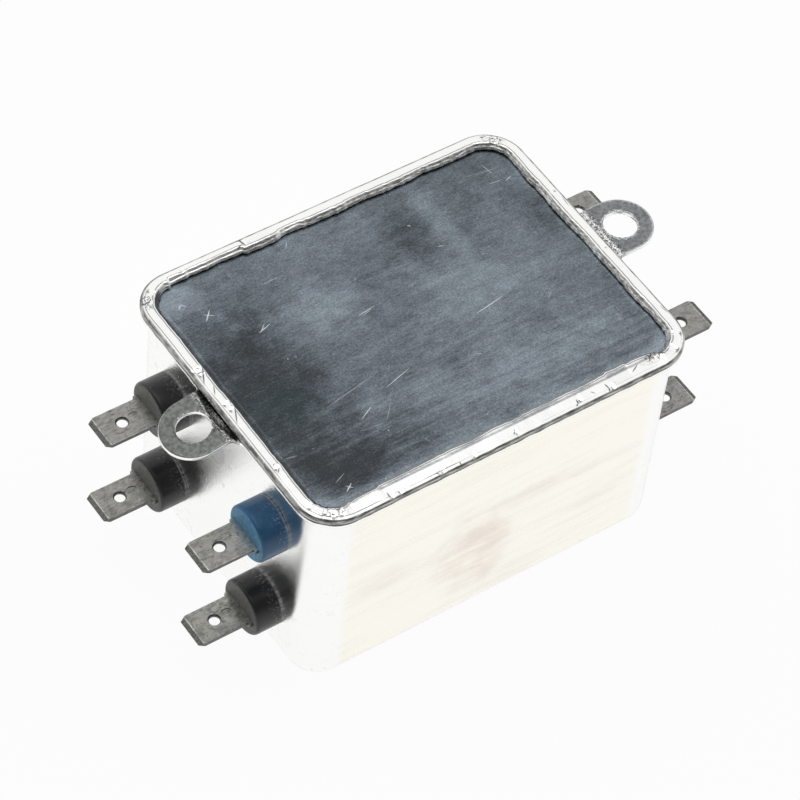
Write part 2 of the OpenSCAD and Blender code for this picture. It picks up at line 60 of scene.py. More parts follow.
MM = 0.001
NEAR_CREST_SHIFT = 0.95 * MM  # how much further in the crest runs on the near side
GROOVE_PLACE, GROOVE_WIDTH = 0.78 * MM, 0.11 * MM  # line of the forming tool, from the outer edge
LEDGE_PLACE = 3.75 * MM  # worn step of the panel, from the outer edge
FLOOR_RADIUS = 3.0
FLOOR_WHITE = 0.94  # share of the floor's look that is plain white to the camera and in reflections
SOFTBOX_PLACE, SOFTBOX_SIZE = (0.02, 0.05, 0.9), 0.62
CAMERA_SIDE = (0.64, 0.77, 0.0)  # level direction away from the grey front of the surround
FRONT_STOPS = ((0.0, 0.5), (0.25, 0.34), (0.5, 0.2), (0.78, 0.2), (0.9, 0.75), (1.0, 1.0))
CARD_DIRECTION, CARD_GREY = (0.406, 0.489, 0.772), (0.3, 0.3, 0.31)
ANY_DEPTH = 999.0  # reach of a patch that both long walls share
RIM_LOW, RIM_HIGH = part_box("closing_plate")
CAN_LOW, CAN_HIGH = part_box("housing")


# ---------------------------------------------------------------- settings

def length(name, description, millimetres):
    return bpy.props.FloatProperty(name=name, description=description, default=millimetres * MM,
                                   unit="LENGTH")


def angle(name, description, degrees):
    return bpy.props.FloatProperty(name=name, description=description, default=math.radians(degrees),
                                   subtype="ANGLE")


def colour_setting(name, description, *colour):
    return bpy.props.FloatVectorProperty(name=name, description=description, default=colour, size=3,
                                         subtype="COLOR", min=0, max=1)


class FilterSizes(bpy.types.PropertyGroup):
    """Sizes of the formed sheet metal"""
    corner_radius: length("Rim corner radius", "Plan radius of the rim's corners", 7.1)
    crest: length("Crest distance", "From the rim's outer edge to its crest", 2.0)
    crown_rise: length("Crown rise", "Rise of the rim's top up to the crest", 0.33)
    lip_slope: angle("Lip slope", "Slope of the rolled-in edge", 42)
    bend_radius: length("Bend radius", "Outside radius of the rim's bends", 0.5)
    plate_thickness: length("Plate thickness", "Sheet thickness of the closing plate", 0.5)
    can_thickness: length("Can thickness", "Sheet thickness of the can", 0.7)
    wall_inset: length("Wall inset", "From the rim's outer edge to the wall", 1.45)
    bottom_radius: length("Closed end radius", "Outside radius round the closed end", 3.0)
    ear_hole: length("Ear hole radius", "Radius of the holes in the ears", 2.9)
    ear_pitch: length("Ear pitch", "Distance between the two ear holes", 83.6)
    ear_radius: length("Ear radius", "Radius of the ears' round ends", 5.65)
    ear_step: length("Ear step", "Rise of the ears above the flange", 0.7)
    line_ear_bend: angle("Bend of the line side ear", "How far that ear has been bent down", 12.5)


class FilterFinish(bpy.types.PropertyGroup):
    """Colours of the finishes"""
    tin: colour_setting("Bright tin", "Bright tin plating of the rim", 0.97, 0.97, 0.96)
    wall_tin: colour_setting("Wall tin", "Tin plating of the long walls", 0.99, 0.965, 0.885)
    panel_light: colour_setting("Panel, rubbed", "Rubbed steel of the plate's panel", 0.74, 0.87, 0.96)
    panel_dark: colour_setting("Panel, dull", "Dull steel of the plate's panel", 0.1, 0.112, 0.122)
    tab: colour_setting("Terminal tab", "Dulled tin of the push-on tabs", 0.62, 0.61, 0.56)
    # the insulators' side colours hold painted shade and their end colours painted light
    black: colour_setting("Black insulator", "Side of the black moulded insulators",
                          0.008, 0.008, 0.008)
    black_lit_end: colour_setting("Black insulator, end", "Frosted end of the black insulators",
                              0.13, 0.13, 0.12)
    blue: colour_setting("Blue insulator", "Side of the blue moulded insulators", 0.008, 0.07, 0.16)
    blue_lit_end: colour_setting("Blue insulator, end", "Frosted end of the blue insulators",
                             0.09, 0.26, 0.42)


class FilterView(bpy.types.PropertyGroup):
    """Camera and light"""
    place: bpy.props.FloatVectorProperty(
        name="Camera place", description="Where the camera stands", size=3,
        default=(-245.98 * MM, -295.26 * MM, 490.07 * MM), subtype="TRANSLATION")
    azimuth: angle("Azimuth", "Turn of the view about the upright axis", -39.72)
    elevation: angle("Elevation", "Angle of the view above level", 50.52)
    roll: angle("Roll", "Turn of the camera about its own axis", 7.08)
    lens: bpy.props.FloatProperty(
        name="Lens", description="Focal length in millimetres, on a 36 mm sensor",
        default=164.41)
    softbox: bpy.props.FloatProperty(
        name="Softbox", description="Power of the overhead softbox in watts", default=0.9)


# ---------------------------------------------------------------- shader building

def fill(socket, value):
    """Links a socket to another one, or sets its value."""
    if isinstance(value, bpy.types.NodeSocket):
        socket.id_data.links.new(value, socket)
    else:
        socket.default_value = value


def put(tree, kind, sockets=None, **settings):
    """New node with its settings made and its sockets filled or linked."""
    made = tree.nodes.new(kind)
    for name, value in settings.items():
        setattr(made, name, value)
    for key, value in (sockets or {}).items():
        fill(made.inputs[key], value)
    return made


def tree_of(*values):
    """The node tree of the first socket among the values."""
    return next(value.id_data for value in values if isinstance(value, bpy.types.NodeSocket))


def sums(operation, *values, clamp=False):
    made = put(tree_of(*values), "ShaderNodeMath", dict(enumerate(values)), operation=operation)
    made.use_clamp = clamp
    return made.outputs[0]


def chain(operation, values):
    """One operation over several values, from the first to the last."""
    total = values[0]
    for value in values[1:]:
        total = sums(operation, total, value)
    return total


def plus(*values):
    return chain("ADD", values)


def times(*values):
    return chain("MULTIPLY", values)


def largest(*values):
    return chain("MAXIMUM", values)


def minus(first, second):
    return sums("SUBTRACT", first, second)


def absolute(value):
    return sums("ABSOLUTE", value)


def vector_sums(operation, *values):
    made = put(tree_of(*values), "ShaderNodeVectorMath", dict(enumerate(values)), operation=operation)
    return made.outputs["Value" if operation in ("LENGTH", "DISTANCE", "DOT_PRODUCT") else "Vector"]


def between(value, low, high, out_low=0.0, out_high=1.0):
    """Smooth rise from out_low, where the value is at low, to out_high, where it is at high."""
    made = put(tree_of(value), "ShaderNodeMapRange", {0: value, 1: low, 2: high, 3: out_low, 4: out_high},
               interpolation_type="SMOOTHSTEP")
    return made.outputs[0]


def bell(value, centre, width):
    """1 at the centre, falling to 0 at the given width on either side."""
    return between(absolute(minus(value, centre)), width, 0.0)


def blend_colour(factor, first, second, how="MIX"):
    colours = [value if isinstance(value, bpy.types.NodeSocket) else (*value[:3], 1.0)
               for value in (first, second)]
    made = put(tree_of(factor), "ShaderNodeMix", data_type="RGBA", blend_type=how)
    for index, value in ((0, factor), (6, colours[0]), (7, colours[1])):
        fill(made.inputs[index], value)
    return made.outputs[2]


def new_group(name, inputs, outputs):
    """Empty shader group with named sockets: (name, socket type, default)."""
    tree = bpy.data.node_groups.new(name, "ShaderNodeTree")
    for label, kind, default in inputs:
        made = tree.interface.new_socket(label, in_out="INPUT", socket_type=kind)
        if default is not None:
            made.default_value = default
    for label, kind in outputs:
        tree.interface.new_socket(label, in_out="OUTPUT", socket_type=kind)
    return tree, tree.nodes.new("NodeGroupInput").outputs, tree.nodes.new("NodeGroupOutput").inputs


def streaks_group():
    """Brush streaks: noise stretched by a different scale along each axis."""
    tree, given, out = new_group(
        "Brush streaks",
        [("Vector", "NodeSocketVector", None), ("Scale", "NodeSocketVector", (0.06, 3.0, 3.0)),
         ("Detail", "NodeSocketFloat", 4.0)],
        [("Value", "NodeSocketFloat")])
    stretched = vector_sums("MULTIPLY", given["Vector"], given["Scale"])
    grain = put(tree, "ShaderNodeTexNoise",
                {"Vector": stretched, "Scale": 1.0, "Detail": given["Detail"], "Roughness": 0.6})
    tree.links.new(grain.outputs["Fac"], out["Value"])
    return tree


def specks_group():
    """Dust and pinholes: small dots scattered at random, in patches."""
    tree, given, out = new_group(
        "Specks",
        [("Vector", "NodeSocketVector", None), ("Per millimetre", "NodeSocketFloat", 1.0),
         ("Size", "NodeSocketFloat", 0.12), ("Share", "NodeSocketFloat", 0.3)],
        [("Mask", "NodeSocketFloat")])
    cells = put(tree, "ShaderNodeTexVoronoi",
                {"Vector": given["Vector"], "Scale": given["Per millimetre"], "Randomness": 1.0})
    pick = put(tree, "ShaderNodeSeparateColor", {0: cells.outputs["Color"]})
    size = times(given["Size"], plus(pick.outputs[1], 0.35))
    dot = between(cells.outputs["Distance"], size, times(size, 0.45))
    chosen = sums("LESS_THAN", pick.outputs[0], given["Share"])
    tree.links.new(times(dot, chosen), out["Mask"])
    return tree


def hairlines_group():
    """Fine curved scratches, broken up and scattered at random."""
    tree, given, out = new_group(
        "Hairline scratches",
        [("Vector", "NodeSocketVector", None), ("Scale", "NodeSocketVector", (0.1, 0.3, 0.3)),
         ("Width", "NodeSocketFloat", 0.004), ("Share", "NodeSocketFloat", 0.4)],
        [("Mask", "NodeSocketFloat")])
    stretched = vector_sums("MULTIPLY", given["Vector"], given["Scale"])
    swirl = put(tree, "ShaderNodeTexNoise", {"Vector": stretched, "Scale": 1.0, "Detail": 0.0})
    offset = absolute(minus(swirl.outputs["Fac"], 0.5))
    line = between(offset, given["Width"], 0.0)
    patches = put(tree, "ShaderNodeTexNoise",
                  {"Vector": given["Vector"], "Scale": 0.55, "Detail": 2.0})
    gate = between(patches.outputs["Fac"], minus(0.75, times(given["Share"], 0.5)), 0.78)
    tree.links.new(times(line, gate), out["Mask"])
    return tree


def score_group():
    """One straight score mark between two points, tapered at both ends."""
    tree, given, out = new_group(
        "Score mark",
        [("Vector", "NodeSocketVector", None), ("From", "NodeSocketVector", (0, 0, 0)),
         ("To", "NodeSocketVector", (1, 0, 0)), ("Width", "NodeSocketFloat", 0.1)],
        [("Mask", "NodeSocketFloat")])
    along = vector_sums("SUBTRACT", given["To"], given["From"])
    here = vector_sums("SUBTRACT", given["Vector"], given["From"])
    share = sums("DIVIDE", vector_sums("DOT_PRODUCT", here, along),
                 vector_sums("DOT_PRODUCT", along, along), clamp=True)
    scaled = put(tree, "ShaderNodeVectorMath", {0: along, "Scale": share}, operation="SCALE")
    distance = vector_sums("DISTANCE", here, scaled.outputs["Vector"])
    taper = times(share, minus(1.0, share), 4.0)
    reach = times(given["Width"], plus(taper, 0.15))
    tree.links.new(between(distance, reach, 0.0), out["Mask"])
    return tree


def patch_group():
    """Soft oval patch with an uneven outline."""
    tree, given, out = new_group(
        "Soft patch",
        [("Vector", "NodeSocketVector", None), ("Centre", "NodeSocketVector", (0, 0, 0)),
         ("Reach", "NodeSocketVector", (1, 1, 1)), ("Softness", "NodeSocketFloat", 0.5),
         ("Unevenness", "NodeSocketFloat", 0.3)],
        [("Mask", "NodeSocketFloat")])
    offset = vector_sums("SUBTRACT", given["Vector"], given["Centre"])
    length = vector_sums("LENGTH", vector_sums("DIVIDE", offset, given["Reach"]))
    cloud = put(tree, "ShaderNodeTexNoise", {"Vector": given["Vector"], "Scale": 0.16, "Detail": 3.0})
    wobble = times(minus(cloud.outputs["Fac"], 0.5), given["Unevenness"])
    shaped = plus(length, wobble)
    start = minus(1.0, given["Softness"])
    tree.links.new(between(shaped, 1.0, start), out["Mask"])
    return tree


def rim_distance_group():
    """Distance inwards from the rim's outer edge, in plan."""
    tree, given, out = new_group(
        "Rim distance",
        [("Vector", "NodeSocketVector", None), ("Straight half", "NodeSocketVector", (30.0, 21.6, 0.0)),
         ("Corner radius", "NodeSocketFloat", 7.1)],
        [("Distance", "NodeSocketFloat")])
    folded = vector_sums("ABSOLUTE", given["Vector"])
    beyond = vector_sums("SUBTRACT", folded, given["Straight half"])
    beyond = vector_sums("MULTIPLY", vector_sums("MAXIMUM", beyond, (0, 0, 0)), (1, 1, 0))
    length = vector_sums("LENGTH", beyond)
    tree.links.new(minus(given["Corner radius"], length), out["Distance"])
    return tree


GROUP_MAKERS = {
    "Rim distance": rim_distance_group,
    "Brush streaks": streaks_group, "Specks": specks_group, "Hairline scratches": hairlines_group,
    "Score mark": score_group, "Soft patch": patch_group,
}


def use_group(name, **sockets):
    """Shared group, made on first use, in the tree of the sockets that feed it."""
    shared = bpy.data.node_groups.get(name) or GROUP_MAKERS[name]()
    made = tree_of(*sockets.values()).nodes.new("ShaderNodeGroup")
    made.node_tree = shared
    for key, value in sockets.items():
        fill(made.inputs[key.replace("_", " ")], value)
    return made.outputs[0]


def new_material(name, **constants):
    """Material with a Principled shader, its constants set, and object coordinates in millimetres."""
    material = bpy.data.materials.new(name)
    material.use_nodes = True
    tree = material.node_tree
    shader = tree.nodes["Principled BSDF"]
    for key, value in constants.items():
        shader.inputs[key.replace("_", " ")].default_value = value
    place = tree.nodes.new("ShaderNodeTexCoord")
    millimetres = put(tree, "ShaderNodeVectorMath", {0: place.outputs["Object"], "Scale": 1000.0},
                      operation="SCALE").outputs["Vector"]
    return material, tree, shader, millimetres


def bump(shader, height, distance):
    made = put(tree_of(height), "ShaderNodeBump", {"Height": height, "Distance": distance * MM})
    fill(shader.inputs["Normal"], made.outputs["Normal"])


def noise(vector, scale, detail=3.0, roughness=0.55, distortion=0.0):
    return put(tree_of(vector), "ShaderNodeTexNoise",
               {"Vector": vector, "Scale": scale, "Detail": detail, "Roughness": roughness,
                "Distortion": distortion}).outputs["Fac"]


def facing(here, axis):
    """How far the surface faces along one axis, either way."""
    geometry = tree_of(here).nodes.new("ShaderNodeNewGeometry")
    parts = put(tree_of(here), "ShaderNodeSeparateXYZ", {0: geometry.outputs["Normal"]})
    return absolute(parts.outputs[axis])


# ---------------------------------------------------------------- finishes

def bright_tin(finish):
    """Bright tin of the rolled rim: painted shade on the rougher outer shoulder and the inner slope,
    painted shadow at the foot, tool marks.
    """
    material, tree, shader, here = new_material("Bright rolled tin", Metallic=1.0)
    parts = put(tree, "ShaderNodeSeparateXYZ", {0: here})
    flat = vector_sums("MULTIPLY", here, (1, 1, 0))
    inward = use_group("Rim distance", Vector=here)
    cloud = noise(here, 0.35, 4)
    grit = noise(here, 2.4, 5, 0.7)
    colour = blend_colour(between(cloud, 0.3, 0.75), [c * 0.95 for c in finish.tin], finish.tin)
    near = between(parts.outputs[1], -22.5, -25.0)
    line_side_shade = between(parts.outputs[0], -30.5, -33.0)
    slope = times(between(inward, 2.1, 2.5), between(parts.outputs[2], 44.76, 44.64))
    hatch = use_group("Brush streaks", Vector=vector_sums("MULTIPLY", here, (1, 1, 2)),
                      Scale=(1.1, 1.1, 5.0), Detail=4.0)
    # painted shade on the hatched inner slope: greyer than the crown, darker on the near side and near
    # black on the line side
    slope_shade_colour = blend_colour(between(hatch, 0.36, 0.64), (0.2, 0.2, 0.2), (0.66, 0.66, 0.65))
    slope_shade_colour = blend_colour(near, slope_shade_colour, (0.3, 0.31, 0.32))
    slope_shade_colour = blend_colour(line_side_shade, slope_shade_colour, (0.07, 0.07, 0.075))
    colour = blend_colour(slope, colour, slope_shade_colour)
    # painted shade on the outer shoulder band
    shoulder_shade = plus(inward, times(grit, 0.16), times(near, 0.12))
    shoulder_shade = between(shoulder_shade, 0.6, 0.48)
    streak = use_group("Brush streaks", Vector=here, Scale=(0.5, 0.5, 2.6), Detail=5.0)
    shade = blend_colour(between(streak, 0.34, 0.66), (0.16, 0.16, 0.155), (0.52, 0.52, 0.5))
    colour = blend_colour(shoulder_shade, colour, shade)
    # painted shadow along the foot of the shoulder, under the rim
    seam_shadow = times(between(parts.outputs[2], 43.66, 43.42), shoulder_shade)
    colour = blend_colour(seam_shadow, colour, (0.03, 0.03, 0.03))
    # fine line of the forming tool
    drift = times(minus(cloud, 0.5), 0.12)
    line = bell(plus(inward, drift), 0.82, 0.075)
    broken = between(noise(flat, 0.09, 2), 0.42, 0.56, 0.15, 1.0)
    outer_side = largest(between(parts.outputs[0], -33.0, -34.5),
                         times(between(parts.outputs[1], -26.0, -27.0),
                               between(parts.outputs[0], 4.0, -14.0, 0.1, 1.0)))
    line = times(line, broken, outer_side)
    # nicks and folds of the closing tool
    nicks = [((-23.5, -28.3), (-23.6, -27.2), 0.2), ((-21.7, -28.35), (-21.9, -27.7), 0.16),
             ((-14.9, -27.8), (-14.3, -28.3), 0.14), ((-10.4, -28.5), (-10.3, -27.9), 0.17),
             ((0.2, -27.8), (0.7, -27.4), 0.14), ((0.7, -27.4), (0.8, -27.0), 0.1),
             ((12.2, -28.2), (12.7, -27.9), 0.2), ((12.7, -28.0), (12.9, -27.1), 0.2),
             ((16.4, -27.7), (15.7, -27.0), 0.1), ((18.6, -28.4), (19.0, -27.8), 0.22),
             ((18.9, -28.0), (18.6, -26.9), 0.2), ((19.3, -28.2), (19.6, -27.6), 0.12),
             ((24.0, -27.2), (25.6, -26.4), 0.16), ((-36.2, -3.9), (-34.8, -1.0), 0.17),
             ((-36.1, 2.7), (-35.3, 4.4), 0.13), ((-36.4, 5.4), (-34.8, 8.5), 0.2),
             ((-36.4, 7.9), (-35.0, 7.5), 0.15), ((-36.0, 9.0), (-35.1, 8.3), 0.12),
             ((-36.1, -15.5), (-35.3, -14.6), 0.12), ((-35.9, -13.9), (-35.6, -13.6), 0.12),
             ((-15.1, 28.5), (-15.0, 26.6), 0.24), ((-16.6, 26.7), (-15.2, 27.3), 0.2),
             ((36.2, 7.0), (36.5, 9.5), 0.1), ((36.5, -20.0), (36.3, -18.2), 0.1),
             ((27.5, -27.0), (29.0, -25.4), 0.18), ((31.5, -26.0), (33.0, -24.0), 0.16)]
    cut = 0.0
    for start, end, width in nicks:
        mark = use_group("Score mark", Vector=flat, From=(*start, 0.0), To=(*end, 0.0), Width=width)
        cut = largest(cut, mark)
    for centre, reach in (((-33.4, -26.4, 0.0), (3.4, 2.2, 1.0)), ((-35.2, 24.6, 0.0), (1.8, 2.6, 1.0)),
                          ((33.9, 26.0, 0.0), (2.6, 2.4, 1.0)), ((29.5, -26.3, 0.0), (4.0, 1.3, 1.0))):
        patch = use_group("Soft patch", Vector=flat, Centre=centre, Reach=reach, Softness=0.8,
                          Unevenness=0.8)
        cut = largest(cut, times(patch, between(grit, 0.5, 0.56)))
    specks = use_group("Specks", Vector=here, Per_millimetre=2.2, Size=0.16, Share=0.04)
    marks = largest(line, cut, times(specks, 0.6))
    colour = blend_colour(marks, colour, (0.1, 0.1, 0.1))
    tree.links.new(colour, shader.inputs["Base Color"])
    rough = between(cloud, 0.25, 0.8, 0.12, 0.2)
    rough = plus(rough, times(largest(shoulder_shade, slope), 0.12))
    tree.links.new(plus(rough, times(marks, 0.2)), shader.inputs["Roughness"])
    height = plus(times(noise(here, 3.2, 3, 0.6), 0.2), times(noise(here, 0.5, 2), 0.7))
    height = minus(height, line)
    height = plus(height, times(hatch, slope, 1.5))
    bump(shader, height, 0.03)
    return material


def panel_steel(finish):
    """Rubbed and scratched steel of the closing plate's panel, with painted light along its near edge."""
    material, tree, shader, here = new_material("Rubbed panel steel", Metallic=1.0)
    parts = put(tree, "ShaderNodeSeparateXYZ", {0: here})
    flat = vector_sums("MULTIPLY", here, (1, 1, 0))
    cloud = noise(here, 0.06, 6, 0.62, 0.4)
    grain = noise(here, 2.6, 4, 0.7)
    fine = use_group("Brush streaks", Vector=here, Scale=(0.7, 4.2, 4.2), Detail=5.0)
    broad = use_group("Brush streaks", Vector=here, Scale=(0.07, 0.9, 0.9), Detail=5.0)
    lower = between(parts.outputs[1], -4.0, -16.0, 0.3, 1.0)
    middle = noise(vector_sums("MULTIPLY", here, (0.8, 1.1, 1.0)), 0.42, 6, 0.68, 0.3)
    tone = plus(0.08, times(cloud, 0.6))
    tone = plus(tone, times(minus(middle, 0.5), 0.5))
    tone = plus(tone, times(minus(grain, 0.5), 0.4))
    tone = plus(tone, times(minus(fine, 0.5), 0.4))
    tone = plus(tone, times(lower, minus(broad, 0.5), 0.6))
    patches = [((-29.0, -3.0, 0.0), (17.0, 30.0, 9.0), 0.95, -0.42),
               ((-23.0, -19.0, 0.0), (20.0, 9.0, 9.0), 0.95, -0.3),
               ((-12.0, 9.0, 0.0), (11.0, 9.0, 9.0), 0.95, 0.2),
               ((6.0, -16.0, 0.0), (26.0, 9.0, 9.0), 0.95, 0.16),
               ((24.0, -16.0, 0.0), (12.0, 9.0, 9.0), 0.95, 0.1),
               ((12.0, 2.0, 0.0), (18.0, 14.0, 9.0), 0.95, 0.1),
               ((33.0, 7.0, 0.0), (7.0, 8.0, 9.0), 0.8, -0.16),
               ((10.5, 16.0, 0.0), (5.0, 10.0, 9.0), 0.7, -0.14),
               ((16.0, 15.0, 0.0), (3.2, 13.0, 9.0), 0.9, 0.16),
               ((0.0, 21.0, 0.0), (24.0, 5.0, 9.0), 0.9, 0.06),
               ((-31.0, 23.0, 0.0), (6.0, 4.0, 9.0), 0.8, 0.25)]
    for centre, reach, softness, weight in patches:
        patch = use_group("Soft patch", Vector=flat, Centre=centre, Reach=reach, Softness=softness,
                          Unevenness=0.6)
        tone = plus(tone, times(patch, weight))
    inward = use_group("Rim distance", Vector=here)
    # painted light: a soft lighter strip along the near rim
    near_edge_light = times(between(inward, 6.2, 3.6), between(parts.outputs[1], -20.0, -24.0))
    tone = plus(tone, times(near_edge_light, 0.3))
    tone = between(tone, -0.1, 1.05)
    colour = blend_colour(tone, finish.panel_dark, finish.panel_light)
    warm = between(noise(here, 0.08, 3), 0.48, 0.7, 0.0, 0.4)
    colour = blend_colour(warm, colour, (1.03, 0.97, 1.04), "MULTIPLY")
    teal = use_group("Soft patch", Vector=flat, Centre=(-27.0, -4.0, 0.0), Reach=(8.0, 7.0, 9.0),
                     Softness=0.9, Unevenness=0.8)
    colour = blend_colour(times(teal, 0.6), colour, (0.88, 1.05, 1.02), "MULTIPLY")
    hair = use_group("Hairline scratches", Vector=here, Scale=(0.06, 0.2, 0.2), Width=0.003, Share=0.5)
    hair_b = use_group("Hairline scratches", Vector=vector_sums("ADD", here, (31.0, 17.0, 4.0)),
                       Scale=(0.14, 0.1, 0.2), Width=0.003, Share=0.45)
    specks = use_group("Specks", Vector=here, Per_millimetre=0.5, Size=0.06, Share=0.2)
    dots = use_group("Specks", Vector=vector_sums("ADD", here, (9.0, 5.0, 0.0)), Per_millimetre=1.3,
                     Size=0.13, Share=0.1)
    worn = largest(between(parts.outputs[0], -22.0, -31.0),
                   use_group("Soft patch", Vector=flat, Centre=(27.0, 20.5, 0.0), Reach=(7.0, 5.0, 9.0),
                             Softness=0.8, Unevenness=0.6))
    worn = largest(worn,
                   use_group("Soft patch", Vector=flat, Centre=(9.0, 14.0, 0.0), Reach=(6.0, 7.0, 9.0),
                             Softness=0.9, Unevenness=0.6))
    marks = times(largest(hair, hair_b), 0.28)
    marks = largest(marks, times(specks, 0.8))
    marks = largest(marks, times(dots, worn, 0.55))
    scores = [
        ((-22.6, 10.7), (-20.1, 11.4), 0.12, 0.9), ((-22.4, 10.6), (-20.8, 11.9), 0.1, 0.8),
        ((-6.9, 5.6), (-3.3, 6.1), 0.1, 0.8), ((-6.2, 5.3), (-4.0, 5.8), 0.08, 0.5),
        ((9.8, -3.7), (15.8, -2.8), 0.12, 0.8), ((-11.4, -9.1), (-5.9, -7.6), 0.11, 0.8),
        ((-18.4, -12.5), (-15.4, -11.0), 0.11, 0.8), ((-21.8, -7.7), (-11.1, -5.8), 0.09, 0.45),
        ((-28.6, 17.0), (-26.9, 18.8), 0.16, 0.9), ((-28.4, 18.5), (-26.7, 17.3), 0.12, 0.7),
        ((-28.4, -23.3), (-26.8, -22.2), 0.15, 0.9), ((-27.9, -22.2), (-27.0, -23.2), 0.12, 0.7),
        ((-9.1, 23.6), (-8.1, 24.9), 0.12, 0.6), ((-17.0, 19.0), (-13.5, 19.2), 0.1, 0.5),
        ((-29.0, -21.0), (-26.6, -20.0), 0.1, 0.5), ((-33.0, -13.0), (-31.0, -13.4), 0.1, 0.5),
        ((29.5, 23.0), (30.0, 20.0), 0.1, 0.6), ((27.0, 21.5), (32.0, 20.9), 0.08, 0.5),
        ((28.0, 18.6), (30.5, 18.3), 0.1, 0.6), ((31.0, 17.8), (32.4, 18.2), 0.12, 0.7),
        ((12.6, 11.5), (13.8, 11.1), 0.12, 0.7), ((11.0, 17.8), (11.5, 17.4), 0.14, 0.7),
        ((4.8, -10.4), (6.0, -11.2), 0.1, 0.4), ((-20.0, -14.4), (-15.2, -14.9), 0.09, 0.35),
        ((-15.2, -14.9), (-12.5, -12.0), 0.09, 0.35), ((-31.2, 21.2), (-30.4, 22.0), 0.14, 0.6),
        ((-30.4, 22.0), (-29.6, 21.3), 0.12, 0.6), ((22.0, -7.0), (23.4, -5.9), 0.1, 0.4),
    ]
    for start, end, width, strength in scores:
        mark = use_group("Score mark", Vector=flat, From=(*start, 0.0), To=(*end, 0.0), Width=width)
        marks = largest(marks, times(mark, strength))
    colour = blend_colour(marks, colour, (0.97, 0.97, 0.97))
    tree.links.new(colour, shader.inputs["Base Color"])
    rough = between(grain, 0.3, 0.7, 0.24, 0.31)
    tree.links.new(plus(rough, times(marks, 0.3)), shader.inputs["Roughness"])
    height = plus(times(fine, 0.25), times(grain, 0.3))
    height = minus(height, times(largest(hair, hair_b), 0.2))
    bump(shader, height, 0.02)
    return material


